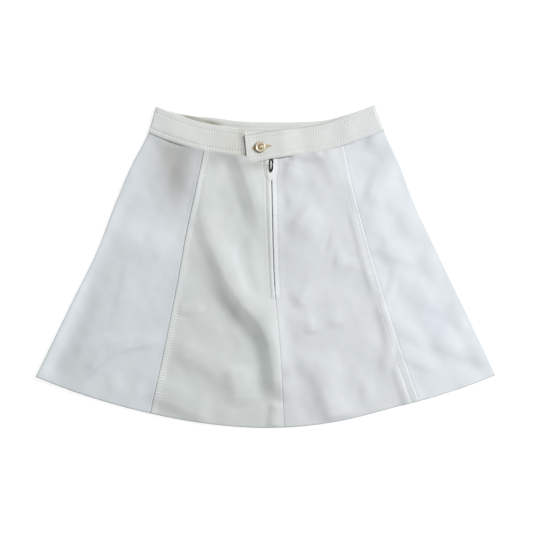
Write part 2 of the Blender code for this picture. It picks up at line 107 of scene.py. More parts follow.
# Waistband's button tab, which crosses the opening from the right.
TAB_LIFT = 3.1
TAB_FLAT_FROM = 3.0     # angle from which the band has climbed onto its own other end
TAB_CLIMB = 5.0
TAB_END_TOP = -29.7     # across, from the axis
TAB_END_BOTTOM = -26.0
TAB_DROP = 8.7          # how far the straight tab falls below the curved band at its end
TAB_DROP_FROM = 5.0
TAB_NARROW = 2.8
TAB_LOWER = 3.6         # how much its lower edge falls early
TAB_DEEPER = 3.8        # how much deeper it is at its end
TAB_CORNER = 4.8
TAB_TOP_CORNER = 2.6
CORNER_ROUND = 0.95     # share of a quarter circle that rounds a corner
TAB_CURL = 0.2          # height of its curled tip
TAB_CURL_FROM = -2.0
TAB_SAG = 0.5           # how far the tab sinks below the waistband's lower edge
TAB_SAG_RUNS = (39, 48)     # over which it sinks
TAB_SHADOW = 5.2        # half width of the shade on the band beside the tab
UNDERLAP_END = 2.0

# Angles of the seams, and of the side folds' outermost edges, at runs down the cloth.
Line = namedtuple("Line", "run left_fold left_seam zip_line right_seam right_fold")
LINES = (
    Line(0, -24.1, -12.28, 0.85, 15.23, 24.05),
    Line(39, -23.4, -12.13, 0.9, 15.13, 23.7),
    Line(85, -23.75, -12.08, 1.0, 14.83, 23.8),
    Line(150, -23.7, -12.13, 1.02, 14.78, 23.45),
    Line(210, -23.4, -11.92, 1.12, 14.91, 23.65),
    Line(290, -23.7, -11.81, 1.6, 15.18, 23.9),
    Line(411, -24.05, -11.84, 1.85, 15.8, 24.1),
)
# How far the cloth lies below an even cone at its top edge and at its hem, and how far the front lies
# above the back, at angles from left to right.
Edge = namedtuple("Edge", "angle top hem front_rise")
EDGES = (
    Edge(-24.1, 0.0, 3.0, 0.0),
    Edge(-20.0, 0.4, 2.6, 2.6),
    Edge(-15.5, 1.0, 2.2, 6.8),
    Edge(-12.0, 1.0, 2.6, 10.6),
    Edge(-6.0, 0.4, 4.6, 11.0),
    Edge(1.5, 0.0, 6.0, 11.0),
    Edge(7.0, -0.5, 3.8, 8.0),
    Edge(13.0, -0.9, -1.6, 3.4),
    Edge(18.0, -2.6, -1.0, 1.2),
    Edge(24.1, -2.6, 0.7, 0.0),
)
HIGHEST = (TOP_RADIUS + EDGES[-1].top) * np.cos(np.radians(SIDE_ANGLE))
LOWEST = TOP_RADIUS + HEM_RUN + max(edge.hem for edge in EDGES)
APEX_Y = (HIGHEST + LOWEST) / 2
MIDDLE_Y = APEX_Y - TOP_RADIUS      # of the waistband's top edge, at its middle
FRONT_SEAMS = {-1: -15.0, 1: 12.3}      # angles of the front's two princess seams

CREASE_ENDS = 26.0      # over which a crease fades in and out
CREASE_BLUNT = 1.2
# A crease is a ridge, or a trough where its height is negative, along a path of points (across, down)
# from the middle of the waistband's top edge. `shady` and `lit` are the widths of its two flanks, on the
# right and on the left of someone who walks down the path. Each flank is an even slope, rounded off over
# its `crest` share at the top and its `foot` share at the bottom. It grows over its `start` and dies away
# over its `end`.
Crease = namedtuple("Crease", "name height shady lit path crest foot start end",
                    defaults=(0.4, 0.5, CREASE_ENDS, CREASE_ENDS))
MAIN_CREASES = (
    Crease("placket", 0.5, 16, 16, ((5, -60), (7, 25), (9, 110), (12, 190), (14, 240))),
    Crease("sweep across the back", 8.4, 35, 70, (
        (-100, 116), (-81, 148), (-64, 182), (-51, 209), (-31, 238), (-11, 260), (3, 284), (10, 310)),
        0.2, 0.4, 215, 60),
    Crease("sweep, low", 6.9, 28, 32, (
        (-11, 260), (3, 284), (10, 310), (14, 338), (17, 382)), 0.2, 0.4, 55, 24),
    Crease("beside the placket", 4.6, 26, 40, (
        (-60, 8), (-38, 36), (-26, 66), (-17, 94), (-9, 122), (-4, 158)), 0.2, 0.35, 24, 60),
    Crease("beside the placket, low", -1.2, 16, 18, ((-39, 146), (-30, 190), (-16, 236)), 0.3, 0.5, 20, 20),
    Crease("below the left hip", 3.0, 30, 60, (
        (-92, -10), (-99, 42), (-105, 67), (-111, 96), (-124, 134)), 0.3, 0.4, 16, 70),
    Crease("left panel, low", 2.0, 26, 36, (
        (-140, 296), (-108, 312), (-86, 323), (-68, 336), (-55, 353), (-47, 378)), 0.3, 0.5),
    Crease("right of the middle, low", 3.1, 27, 38, (
        (52, 302), (64, 325), (75, 344), (85, 364), (93, 385), (99, 408)), 0.3, 0.5, 30, 10),
    Crease("right panel, high", 2.0, 23, 28, ((74, 10), (84, 38), (95, 62), (101, 90)), 0.3, 0.5, 12, 26),
    Crease("right hip", 1.9, 15, 24, ((160, 64), (152, 80), (146, 95), (140, 110)), 0.3, 0.5),
    Crease("right side, across", 1.1, 20, 28, (
        (160, 158), (172, 172), (198, 179), (224, 187), (254, 204)), 0.3, 0.5, 14, 64),
    Crease("right side, low", 1.5, 20, 30, (
        (226, 290), (250, 302), (274, 311), (297, 315), (318, 328)), 0.3, 0.5),
    Crease("left side, down", 0.5, 8, 26, ((-192, 178), (-198, 214), (-206, 250), (-217, 282))),
    Crease("left side, across", 1.7, 10, 24, (
        (-264, 338), (-240, 324), (-216, 311), (-192, 303), (-170, 299), (-138, 290)), 0.3, 0.5, 40, 26),
)
FINE_CREASES = (
    Crease("left fold, high", -1.3, 27, 44, ((-196, 50), (-214, 110), (-231, 168), (-248, 232)), 0.4, 0.6),
    Crease("left fold, low", -2.3, 26, 32, (
        (-236, 180), (-249, 238), (-260, 266), (-275, 295), (-289, 322), (-302, 358)), 0.12, 0.6, 50, 30),
    Crease("left fold, roll", 1.8, 30, 24, (
        (-172, 30), (-214, 108), (-254, 182), (-290, 256), (-318, 330), (-326, 352)), 0.3, 0.5, 40, 10),
    Crease("left side, high", 1.5, 30, 34, (
        (-206, 160), (-180, 168), (-150, 169), (-106, 164)), 0.2, 0.5, 60, 40),
    Crease("left side, swell", 1.2, 15, 12, ((-276, 312), (-252, 302), (-230, 295), (-196, 287))),
    Crease("left side, slanting", 1.0, 8, 18, ((-226, 316), (-240, 330), (-254, 350)), 0.3, 0.5),
    Crease("left side, by the hem", 0.9, 12, 20, ((-222, 336), (-214, 354), (-208, 376))),
    Crease("left side, hem's middle", 1.0, 14, 16, ((-200, 378), (-180, 366), (-162, 356))),
    Crease("under the band, left", -0.8, 7, 5, ((-152, 10), (-126, 19), (-96, 27))),
    Crease("left shoulder", 0.7, 8, 36, ((-76, 40), (-86, 98), (-92, 132))),
    Crease("start of the sweep", 2.6, 21, 28, (
        (-94, 110), (-86, 132), (-78, 154), (-64, 182), (-51, 209), (-33, 236)), 0.2, 0.4, 30, 60),
    Crease("left of the sweep", 1.7, 24, 34, ((-66, 206), (-50, 228), (-34, 252), (-24, 274)), 0.3, 0.5),
    Crease("left panel, across", 1.1, 11, 16, ((-126, 251), (-104, 252), (-82, 249)), 0.3, 0.5, 10, 14),
    Crease("left panel, upright", 2.2, 24, 40, ((-45, 328), (-41, 350), (-40, 390)), 0.3, 0.5, 20, 14),
    Crease("left hem", 2.6, 22, 42, (
        (-176, 366), (-141, 373), (-120, 382), (-98, 392), (-70, 398)), 0.4, 0.4),
    Crease("foot of the sweep", 1.8, 12, 16, ((15, 376), (12, 394), (10, 420)), 0.3, 0.5, 16, 8),
    Crease("below the band, right", 2.2, 14, 9, ((30, 36), (56, 35), (80, 29)), 0.3, 0.4, 10, 12),
    Crease("beside the zip's top", 2.3, 17, 26, ((38, 38), (35, 56), (27, 82)), 0.3, 0.5, 16, 24),
    Crease("right of the placket", 0.9, 10, 24, ((34, 78), (35, 96), (40, 112))),
    Crease("right panel, hollow", 2.3, 26, 40, (
        (37, 118), (49, 132), (61, 147), (78, 170)), 0.2, 0.4, 16, 30),
    Crease("right panel, thin", 0.6, 6, 14, ((97, 124), (92, 158), (84, 186))),
    Crease("right panel, upright", 0.9, 8, 16, ((104, 156), (101, 182), (98, 208))),
    Crease("right panel, spot", 0.9, 12, 12, ((98, 192), (116, 188), (134, 190))),
    Crease("right panel, bend", 2.6, 19, 30, ((36, 216), (48, 234), (72, 246)), 0.3, 0.5),
    Crease("right panel, across", 1.5, 12, 26, (
        (50, 276), (70, 277), (90, 269), (110, 262)), 0.3, 0.5, 14, 20),
    Crease("right panel, wide", 0.6, 17, 15, ((76, 266), (98, 260), (122, 263))),
    Crease("right panel, lowest", 0.9, 11, 18, ((136, 340), (140, 366), (142, 396))),
    Crease("right panel, curved", 1.2, 13, 12, (
        (154, 234), (162, 254), (168, 274), (172, 298), (168, 322), (156, 350)), 0.3, 0.5),
    Crease("right welt, low", 1.0, 9, 6, ((177, 326), (189, 358), (201, 396)), 0.4, 0.5, 20, 8),
    Crease("right welt, middle", 0.6, 7, 6, ((116, 102), (127, 146), (138, 189), (152, 236))),
    Crease("under the band, right hip", 2.8, 19, 32, ((152, -8), (149, 14), (142, 36)), 0.3, 0.5, 6, 24),
    Crease("right hip, slanting", 1.2, 22, 22, ((190, 10), (178, 38), (162, 66))),
    Crease("right side, hollow", -0.7, 16, 10, ((158, 136), (157, 152), (162, 172)), 0.3, 0.5),
    Crease("right side, thin", 0.5, 7, 9, ((180, 182), (176, 214), (168, 246)), 0.3, 0.4),
    Crease("right side, round", 0.8, 17, 24, ((212, 244), (236, 244), (256, 262))),
    Crease("right side, edge", 0.7, 14, 12, ((262, 254), (284, 292))),
    Crease("right side, slanting", 0.6, 12, 18, ((176, 268), (204, 288), (230, 302))),
    Crease("right side, arc", 0.7, 12, 20, ((184, 298), (200, 318), (222, 328), (248, 328))),
    Crease("right side, high", 0.4, 6, 8, ((158, 83), (178, 80), (198, 82))),
)
CREASES = MAIN_CREASES + FINE_CREASES

# Heights of the cloth over its even face, at distances from an edge, as (distance, height).
WELT = {        # centre gores, from their princess seams: a rolled edge, the welt, its topstitching
    -1: (
        (0, -0.16), (0.3, 0.22), (0.7, 0.5), (1.3, 0.66), (2.4, 0.7), (4.6, 0.5), (7.3, 0.26), (8.2, 0.1),
        (9.1, 0.2), (10.5, 0.08), (12.5, 0.0), (26, 0.0)),
    1: (
        (0, -0.26), (0.3, 0.02), (0.8, 0.2), (1.5, 0.32), (2.6, 0.34), (4.6, 0.3), (7.3, 0.26),
        (8.2, 0.12), (9.1, 0.23), (12, 0.16), (18, 0.05), (26, 0.0)),
}
WELT_STITCHES = 8.2
WELT_SPREAD = 0.22      # how much wider a welt is at the hem than at the waistband
SEAM_SIDE = (   # side gore, from its princess seam, under whose rolled edge it is tucked
    (-1.6, -0.55), (0, -0.3), (0.6, -0.18), (1.4, -0.06), (2.4, 0.0), (5, 0.0), (9, 0.0))
EDGE_CLOTH = 0.5        # from a centre gore's even face down to its inner one, at its princess seam
PLACKET = {     # centre gores, from the edge of the opening
    -1: (
        (0, -0.6), (0.2, -0.22), (0.6, 0.02), (1.2, 0.24), (2.2, 0.44), (3.4, 0.46), (5.4, 0.24),
        (7, 0.12), (7.8, -0.18), (8.6, 0.1), (11, 0.0), (13, 0.0)),
    1: (
        (0, -0.6), (0.2, -0.02), (0.6, 0.42), (1.2, 0.62), (2.2, 0.58), (3.4, 0.42), (5.5, 0.22),
        (6.5, -0.14), (7.4, 0.05), (10, -0.02), (13, 0.0)),
}
PUCKER_REACH = 2.2      # from a row of stitches
PLACKET_END = 5.2       # row of stitches across below the opening's end
PLACKET_NEARER = 1.2    # how much nearer the opening the left row of stitches comes low down
PLACKET_STITCHES = {-1: 7.8, 1: 6.5}
# Where a centre gore is sewn: its columns under the placket's stitches and the welt's, and its rows from
# below the waistband to above the hem's fold.
STITCH_COLUMN = 10
WELT_COLUMN = -14
SEWN_ROWS = slice(5, -6)
CENTRE_SEAM = (     # centre gores, from their seam below the opening
    (0, -0.4), (0.5, -0.18), (1.2, -0.04), (2.2, 0.02), (4, 0.05), (7, 0.03), (13, 0.0))
BELOW_BAND = (      # every gore, from the waistband, under which it is tucked
    (-1.8, -1.9), (-0.9, -1.2), (-0.3, -0.7), (0, -0.5), (0.5, -0.3), (1.2, -0.12), (2.4, 0.0), (4, 0.0))
BAND = (        # waistband, down from its top edge: two rows of topstitching between rolled edges
    (0, 0.0), (1.5, 0.02), (4.5, 0.1), (7.3, 0.08), (8.2, -0.12), (9.1, 0.06), (13, 0.12), (19, 0.14),
    (26, 0.12), (30.2, 0.02), (31.2, -0.2), (32.2, 0.02), (34.2, 0.2), (36.2, 0.14), (37.4, 0.0),
    (39, -0.3))
BAND_STITCHES = (8.2, 31.2)
BAND_ROW = 12           # the waistband's row of points next to its upper stitches
BAND_PART = 19          # run from which its rows keep to the lower stitches
UNDER_TAB = 48          # columns of its near left part that lie hidden under the tab
TAB_STITCHES = (7.4, 31.8)
TAB_END_STITCHES = 4.4
BAND_ROUND = 1.5        # rounding into the folds at the band's edges
TAB_ROUND = 0.7
TAB_SWELL = 1.3         # height of the band's swell against the tab's end

# Slow swells of the band: their place across, height and half width.
Swell = namedtuple("Swell", "across height width")
BAND_SWELLS = (
    Swell(-128, 0.6, 17), Swell(-84, -0.5, 20), Swell(-52, 0.35, 18), Swell(62, 0.3, 15),
    Swell(93, -0.6, 11), Swell(116, 0.7, 13), Swell(148, 0.4, 12))

# Patches of painted light and shade on a piece of cloth, where it is darker, lighter or tinted beyond the
# shading of its creases, as at the left hip, below the tab, in the sweep and along the left fold: their
# middle, half width and half length in millimetres, their turn from upright in degrees, and the share of its
# colour that each adds or, where negative, takes: one share for its red, green and blue alike, or one for
# each.
Patch = namedtuple("Patch", "name across down wide long turn shade")
PATCHES = {
    "side_left": (
        Patch("hip, dull", -122, 46, 36, 54, 0, (-0.24, -0.26, -0.29)),
        Patch("hip, dullest", -128, 72, 13, 38, 0, (-0.10, -0.11, -0.13)),
        Patch("by the seam, dull", -124, 236, 24, 90, 10, (-0.05, -0.05, -0.045)),
        Patch("below the hip, pale", -158, 146, 46, 20, 0, (0.04, 0.04, 0.035)),
        Patch("below the hip, palest", -182, 134, 26, 20, 0, (0.045, 0.045, 0.04)),
        Patch("hip, dull high", -138, 28, 18, 16, 0, (-0.07, -0.075, -0.10)),
        Patch("fold, pale", -265, 232, 13, 160, 24.5, (0.11, 0.115, 0.12)),
        Patch("pale by the hem", -224, 356, 20, 14, 0, (0.05, 0.05, 0.045)),
        Patch("pale at the hem's middle", -180, 370, 14, 10, 0, (0.05, 0.05, 0.045)),
        Patch("across, low, dull", -235, 333, 5, 26, 47, (-0.07, -0.07, -0.065)),
        Patch("high, pale", -183, 137, 18, 15, 0, 0.03),
    ),
    "back_left": (
        Patch("below the band, dull", -74, 42, 13, 13, 0, -0.17),
        Patch("below the tab, dull", -14, 49, 20, 9, 0, (-0.24, -0.25, -0.29)),
        Patch("beside the sweep, pale", -66, 150, 18, 66, -21, 0.035),
        Patch("by the hem, dull", -78, 362, 22, 14, 0, -0.03),
        Patch("in the sweep, greener", -12, 322, 22, 50, 0, (0.0, 0.025, 0.0)),
    ),
    "back_right": (
        Patch("by the seam, dull", 30, 250, 16, 150, 0, (-0.075, -0.075, -0.085)),
        Patch("below the band, dull", 58, 44, 26, 10, 0, -0.08),
        Patch("spot in the middle", 113, 199, 8, 6, 0, -0.05),
        Patch("spot by the centre seam", 25, 343, 12, 14, 0, -0.08),
        Patch("pale by the hem", 116, 380, 14, 14, 0, (0.04, 0.04, 0.035)),
        Patch("pale by the hem's seam", 153, 370, 12, 12, 0, (0.04, 0.04, 0.035)),
        Patch("pale above", 62, 101, 12, 28, 0, 0.02),
        Patch("across, low, dull", 97, 273, 17, 9, 0, (-0.05, -0.05, -0.045)),
        Patch("spot by the centre seam, dullest", 26, 342, 9, 9, 0, (-0.09, -0.09, -0.08)),
    ),
    "side_right": (
        Patch("hip, dull", 158, 36, 24, 22, 0, (-0.08, -0.08, -0.075)),
        Patch("by the seam, dull", 142, 120, 12, 80, -15, (-0.04, -0.04, -0.035)),
        Patch("by the seam, pale", 192, 300, 14, 80, -15, 0.03),
        Patch("high, pale", 182, 124, 12, 24, 0, 0.045),
        Patch("middle, dull", 195, 154, 36, 18, 0, (-0.025, -0.025, -0.02)),
        Patch("low, dull", 234, 264, 20, 34, -35, (-0.04, -0.034, -0.012)),
        Patch("by the fold, dull", 262, 250, 14, 60, -24, (-0.012, -0.012, -0.01)),
        Patch("at the band, dull", 144, 14, 9, 14, 0, (-0.10, -0.10, -0.09)),
    ),
    "waistband": (
        Patch("pale left", -110, 6, 60, 34, 0, (0.06, 0.055, 0.055)),
        Patch("cool left end", -154, 14, 16, 34, 0, (0.05, 0.065, 0.09)),
        Patch("warm beside the tab", -46, 22, 14, 30, 0, (-0.045, -0.055, -0.10)),
        Patch("cool right", 140, 6, 44, 34, 0, (0.01, 0.02, 0.05)),
        Patch("pale end of the tab", -20, 24, 7, 26, 0, (0.08, 0.075, 0.06)),
    ),
}
HOLLOW = (      # painted shadow in the hollow inside the waistband's far part, up from the near part's top edge
    Swell(-104, 0.44, 15), Swell(-76, 0.52, 14), Swell(-40, 0.10, 26), Swell(30, 0.05, 44),
    Swell(96, 0.08, 22))
HOLLOW_HEIGHT = 3.4
BROWN = (1.0, 1.04, 1.2)    # how much more of its green and blue than of its red a shaded hollow loses

# Zip slider, pull and button, placed on their solids.
PULL_LEAN = 3.0
PULL_LENGTH = 28.0
PULL_WIDTH = 11.4       # before it narrows towards its tip
PULL_TAPER = 0.42
PULL_THICK = 1.2
PULL_BAR = 1.2          # width of the pull's top bar, round its axis
EYE_LENGTH = 11.8
EYE_WIDTH = 7.4
EYE_TAPER = 0.1
PULL_RIBS = (-18.2, -21.2, -24.2)       # from the pull's axis
RIB_HEIGHT = 0.4
PLATE_THICK = 0.6
PLATE_APART = 2.8       # from the underside of the slider's lower plate to its upper one's
PLATE_SQUARE = 0.72
BRIDGE_LENGTH = 12.6
BRIDGE_WIDTH = 1.6
BRIDGE_THICK = 0.8
BRIDGE_FOOT = 5.4       # height of its two ends
BRIDGE_SQUARE = 0.42
BUTTONHOLE = ((-17.4, 26.4), (5.4, 23.2))      # its two ends, (across, down)
BUTTON = (      # (radius, height) from the middle of its boss over the rim to its shank
    (0.02, 3.12), (0.8, 3.05), (1.3, 2.8), (1.6, 2.4), (1.9, 2.2), (2.4, 2.25), (3.0, 2.3), (3.5, 2.3),
    (3.9, 2.15), (4.3, 2.15), (4.7, 2.5), (5.3, 2.95), (5.9, 3.15), (6.5, 3.0), (6.95, 2.6), (7.3, 2.2),
    (7.6, 1.8), (7.7, 1.3), (7.4, 0.7), (6.6, 0.3), (5, 0.05), (0.02, 0.0))


def colour_setting(name, description, default):
    return FloatVectorProperty(
        name=name, description=description, subtype="COLOR", size=3, min=0, max=1, default=default)


def length_setting(name, description, least, most, default):
    """A length in metres."""
    return FloatProperty(
        name=name, description=description, unit="LENGTH", precision=5, min=least, max=most, default=default)


class KnitSettings(bpy.types.PropertyGroup):
    """Colours and knit of the gores and the waistband."""

    # Every gore is one white knit. Each piece's colour is set lighter, darker or bluer to match the light on
    # it, as painted light and shade: the left centre gore darkest, the sides lightest and bluest.
    side_colour: colour_setting(
        "Sides and front", "Colour of the side and front gores' knit", (0.728, 0.768, 0.798))
    left_colour: colour_setting("Back, left", "Colour of the left centre gore's knit", (0.66, 0.694, 0.69))
    right_colour: colour_setting(
        "Back, right", "Colour of the right centre gore's knit", (0.698, 0.727, 0.744))
    band_colour: colour_setting("Waistband", "Colour of the waistband's knit", (0.688, 0.706, 0.685))
    wale: length_setting("Wale", "Width of one column of knit stitches", 0.0003, 0.005, 0.0011)
    course: length_setting("Course", "Height of one row of knit stitches", 0.0003, 0.005, 0.0009)
    relief: length_setting("Knit relief", "Depth of the knit's surface", 0, 0.001, 0.00012)


class SewingSettings(bpy.types.PropertyGroup):
    """Topstitching and buttonhole."""

    stitch: length_setting("Stitch", "Length of one topstitch", 0.001, 0.01, 0.0031)
    space: length_setting("Space", "Gap between two topstitches", 0.0001, 0.005, 0.0007)
    thread: length_setting("Thread", "Thickness of the sewing thread", 0.0001, 0.002, 0.00042)
    pucker: length_setting("Pucker", "How much the cloth ripples along its topstitching", 0, 0.001, 0.00015)
    thread_colour: colour_setting("Thread", "Colour of the topstitching", (0.74, 0.76, 0.75))
    buttonhole_colour: colour_setting("Buttonhole", "Colour of the buttonhole's thread", (0.60, 0.49, 0.29))


class FasteningSettings(bpy.types.PropertyGroup):
    """Zip and button."""

    tooth: length_setting("Tooth pitch", "Distance from one zip tooth to the next", 0.0005, 0.006, 0.0016)
    # The tape is olive, darker than white tape: painted shade for the slit through which it shows.
    tape_colour: colour_setting("Zip tape", "Colour of the zip's tape and teeth", (0.57, 0.52, 0.36))
    enamel_colour: colour_setting("Enamel", "Colour of the slider's bridge and pull", (0.84, 0.86, 0.85))
    # Near black: the slider's plates and the pull's bar and eye rim are painted shade for the pull's dark
    # eye, not worn metal.
    shadow_black_colour: colour_setting(
        "Shadow black", "Colour of the slider's plates and the pull's worn edges", (0.010, 0.012, 0.022))
    gold_colour: colour_setting("Button", "Colour of the button's pale plating", (0.94, 0.88, 0.74))
    worn_colour: colour_setting(
        "Button's grooves", "Colour of the gold in the button's grooves and rim", (0.48, 0.35, 0.18))


class StageSettings(bpy.types.PropertyGroup):
    """Floor, light and camera."""

    floor_colour: colour_setting("Floor", "Colour of the floor", (0.28, 0.28, 0.28))
    key_power: FloatProperty(
        name="Key light", description="Power of the soft light on the right", unit="POWER",
        min=0, max=1000, default=111)
    fill: FloatProperty(
        name="Fill", description="Brightness of the even light all round", min=0, max=2, default=0.195)
    lens: FloatProperty(
        name="Lens", description="Focal length of the camera", subtype="DISTANCE_CAMERA",
        min=20, max=200, default=85)


def smooth_curve(at, places, values):
    """Values on the smooth curve (cubic Hermite, with the slopes of its neighbours) through a few places."""
    slopes = np.gradient(values, places)
    before = np.clip(np.searchsorted(places, at, side="right") - 1, 0, len(places) - 2)
    step = places[before + 1] - places[before]
    t = (at - places[before]) / step
    start = values[before] * (1 + 2 * t) * (1 - t) ** 2 + slopes[before] * step * t * (1 - t) ** 2
    end = values[before + 1] * t**2 * (3 - 2 * t) + slopes[before + 1] * step * t**2 * (t - 1)
    return start + end


def column(rows, name):
    return np.array([getattr(row, name) for row in rows], float)


def line(name, run):
    """Angle of a seam or of a side fold's outermost edge at a run down the cloth."""
    return smooth_curve(run, column(LINES, "run"), column(LINES, name))


def edge_shift(name, angle):
    """One of the shifts of EDGES at an angle."""
    angles = column(EDGES, "angle")
    return smooth_curve(np.clip(angle, angles[0], angles[-1]), angles, column(EDGES, name))


def profile(steps, distance):
    """Height at distances from an edge, on the smooth curve through a table of steps."""
    places, heights = np.array(steps, float).T
    return smooth_curve(np.clip(distance, places[0], places[-1]), places, heights)


def to_angle(across, run):
    return np.degrees(across / (TOP_RADIUS + run))


def to_across(angle, run):
    return np.radians(angle) * (TOP_RADIUS + run)


def fade(value, start, end):
    """0 before start, 1 after end, and a smooth step between."""
    t = np.clip((value - start) / (end - start), 0, 1)
    return t * t * (3 - 2 * t)


def bell(value, middle, width):
    """1 at the middle, and less on both sides of it over the width, as a bell curve."""
    return np.exp(-(((value - middle) / width) ** 2))


def swells(table, x):
    """Sum of a table's bell curves across the skirt."""
    return sum(swell.height * bell(x, swell.across, swell.width) for swell in table)


def squared(value, power):
    """A sine or cosine raised to a power with its sign kept, which squares a circle's corners."""
    return np.sign(value) * np.abs(value) ** power


def unit(vectors):
    return vectors / np.linalg.norm(vectors, axis=-1, keepdims=True)


def full_turn(count):
    """Even angles all the way round."""
    return np.linspace(0, 2 * np.pi, count, endpoint=False)


def upward(points):
    return np.broadcast_to([0.0, 0.0, 1.0], points.shape)


def place(angle, run, front=False):
    """(x, y) of a place on the back layer, or on the front one, which lies a little higher at its middle."""
    share = run / HEM_RUN
    down = run + edge_shift("top", angle) * (1 - share) + edge_shift("hem", angle) * share**2
    if front:
        down = down - edge_shift("front_rise", angle)
    radius = TOP_RADIUS + down
    turn = np.radians(angle)
    return radius * np.sin(turn), APEX_Y - radius * np.cos(turn)


def angle_at(x, y):
    return np.degrees(np.arctan2(x, APEX_Y - y))


def princess_seam(side, run):
    return line("left_seam" if side < 0 else "right_seam", run)


def flank_height(u, crest, foot):
    """Height of a ridge at a share u of the way down its flank, from 1 to 0. It falls by u squared over its
    crest, evenly down its flank and by (1 - u) squared over its foot."""
    whole = 1 - crest / 2 - foot / 2
    fall = np.where(u < crest, u**2 / (2 * crest), u - crest / 2)
    fall = np.where(u > 1 - foot, whole - (1 - u) ** 2 / (2 * foot), fall)
    return 1 - fall / whole


def crease_height(crease, x, y):
    """Height of one crease, by the distance from its path over its flank's width. The distance is blunted, so
    that the crest has no kink, and the crease fades at its two ends."""
    knots = np.array(crease.path, float)
    at, steps = np.linspace(0, len(knots) - 1, 6 * len(knots)), np.arange(len(knots), dtype=float)
    path_x = smooth_curve(at, steps, knots[:, 0])
    path_y = MIDDLE_Y - smooth_curve(at, steps, knots[:, 1])
    reach = max(crease.shady, crease.lit)
    height = np.zeros(x.shape)
    close = (x > path_x.min() - reach) & (x < path_x.max() + reach)
    close &= (y > path_y.min() - reach) & (y < path_y.max() + reach)
    if not close.any():
        return height
    step_x, step_y = np.diff(path_x), np.diff(path_y)
    off_x = x[close][:, None] - path_x[:-1]
    off_y = y[close][:, None] - path_y[:-1]
    along = np.clip((off_x * step_x + off_y * step_y) / (step_x**2 + step_y**2), 0, 1)
    distance = np.hypot(off_x - along * step_x, off_y - along * step_y)
    nearest = distance.argmin(axis=-1)[:, None]
    side = np.take_along_axis(step_x * off_y - step_y * off_x, nearest, -1)[:, 0]
    share = (nearest + np.take_along_axis(along, nearest, -1))[:, 0] / len(step_x)
    away = np.hypot(np.take_along_axis(distance, nearest, -1)[:, 0], CREASE_BLUNT) - CREASE_BLUNT
    u = np.clip(away / np.where(side < 0, crease.shady, crease.lit), 0, 1)
    bump = flank_height(u, crease.crest, crease.foot)
    length = np.hypot(step_x, step_y).sum()
    start, end = np.clip(crease.start / length, 0.02, 0.7), np.clip(crease.end / length, 0.02, 0.5)
    height[close] = crease.height * bump * fade(share, 0, start) * fade(1 - share, 0, end)
    return height


def undulation(x, y, height, length, seed):
    """Uneven swell of the cloth: seven sine waves of seeded directions, phases and like lengths."""
    waves = np.random.default_rng(seed)
    total = np.zeros(x.shape)
    for _ in range(7):
        turn = waves.uniform(0, 2 * np.pi)
        wave_length = length * waves.uniform(0.7, 1.6)
        start = waves.uniform(0, 2 * np.pi)
        total += np.sin(2 * np.pi * (x * np.cos(turn) + y * np.sin(turn)) / wave_length + start)
    return height * total / np.sqrt(7)


def layer_top(x, y):
    """Height of the upper layer's outer face: its loft, every crease and a slight uneven swell."""
    livelier = 0.55 + 0.6 * fade(x, -10, 60)
    swell = undulation(x, y, height=0.34, length=50, seed=3) * livelier
    swell = swell + undulation(x, y, height=0.07, length=16, seed=4)
    return LAYER_TOP + swell + sum(crease_height(crease, x, y) for crease in CREASES)


def upper_grid(angle, run):
    """Points of the upper layer's outer face."""
    x, y = place(angle, run)
    return np.dstack([x, y, layer_top(x, y)])


def even_grid(angle, run, height, front=False):
    """Points of a layer at one height."""
    x, y = place(angle, run, front)
    return np.dstack([x, y, height + np.zeros_like(x)])


def grid_normals(points):
    """Unit normals of a grid of points, from its rows and columns, the first of them pointing up."""
    normal = unit(np.cross(np.gradient(points, axis=0), np.gradient(points, axis=1)))
    middle = normal[normal.shape[0] // 2, 0, 2]
    return normal if middle > 0 else -normal


def pucker(run, distance, row, seed, strip=0.0):
    """Ripple of the cloth beside a row of topstitching: a sine down the run, one wave to a stitch, which
    swells and fades along the row and dies away with the distance from it. On the row's near side it
    first crosses a strip of welt."""
    sewing = bpy.context.scene.skirt_sewing
    wave = (sewing.stitch + sewing.space) / MM
    uneven = undulation(run, np.zeros_like(run), height=0.6, length=31, seed=seed)
    away = distance - row
    away = np.where(away < 0, np.minimum(away + strip, 0), away)
    ripple = np.sin(2 * np.pi * run / wave + uneven) * bell(away, 0, PUCKER_REACH)
    return sewing.pucker / MM * (0.8 + uneven) * ripple


def panel_runs(spacing):
    """Runs of a gore's rows: close together under the band and into the hem's fold, even between."""
    first = BAND_HEIGHT + np.array([-1.8, -0.9, -0.3, 0, 0.5, 1.1, 1.9, 2.9])
    turn = np.linspace(0, np.pi / 2, 8)
    last = HEM_RUN - HEM_ROUND * (1 - np.sin(turn))
    count = int((last[0] - first[-1]) / spacing)
    return np.concatenate([first, np.linspace(first[-1], last[0], count)[1:-1], last])


def hem_thickness(run):
    """Extra thickness of the hem's turned-up cloth, with a soft step."""
    return CLOTH * fade(run, HEM_RUN - HEM_TURN - 0.8, HEM_RUN - HEM_TURN + 0.8)


def fold_rounding(distance, length, thickness):
    """How far each face draws in towards a fold: a quarter of an ellipse over the last of the cloth."""
    past = np.clip(1 - distance / length, 0, 1)
    return (thickness - WALL_LEAST) / 2 * (1 - np.sqrt(1 - past**2))


def hem_line(run):
    """The faint ridge that the turned-up edge of the hem presses into the cloth."""
    return 0.05 * bell(run, HEM_RUN - HEM_TURN, 2.4)


# A laid piece of cloth: its two faces, the normals, the run of each row and the share of its colour shown,
# which holds its painted light and shade.
Cloth = namedtuple("Cloth", "outer inner outward run shade", defaults=(1.0,))


def slit_half(run):
    """Half the opening's width: a narrow slit, wider above and round the slider, closing to a seam below."""
    closing = fade(run, ZIP_END_RUN - 18, ZIP_END_RUN - 4)
    slider_end = SLIDER_RUN + SLIDER_LENGTH
    wide = SLIDER_SLIT / 2 * (1 - fade(run, slider_end, slider_end + SLIDER_LENGTH))
    narrowing = 1 - 0.2 * fade(run, 110, ZIP_END_RUN - 10)
    return (SLIT / 2 * narrowing + wide) * (1 - closing) + 0.01 * closing


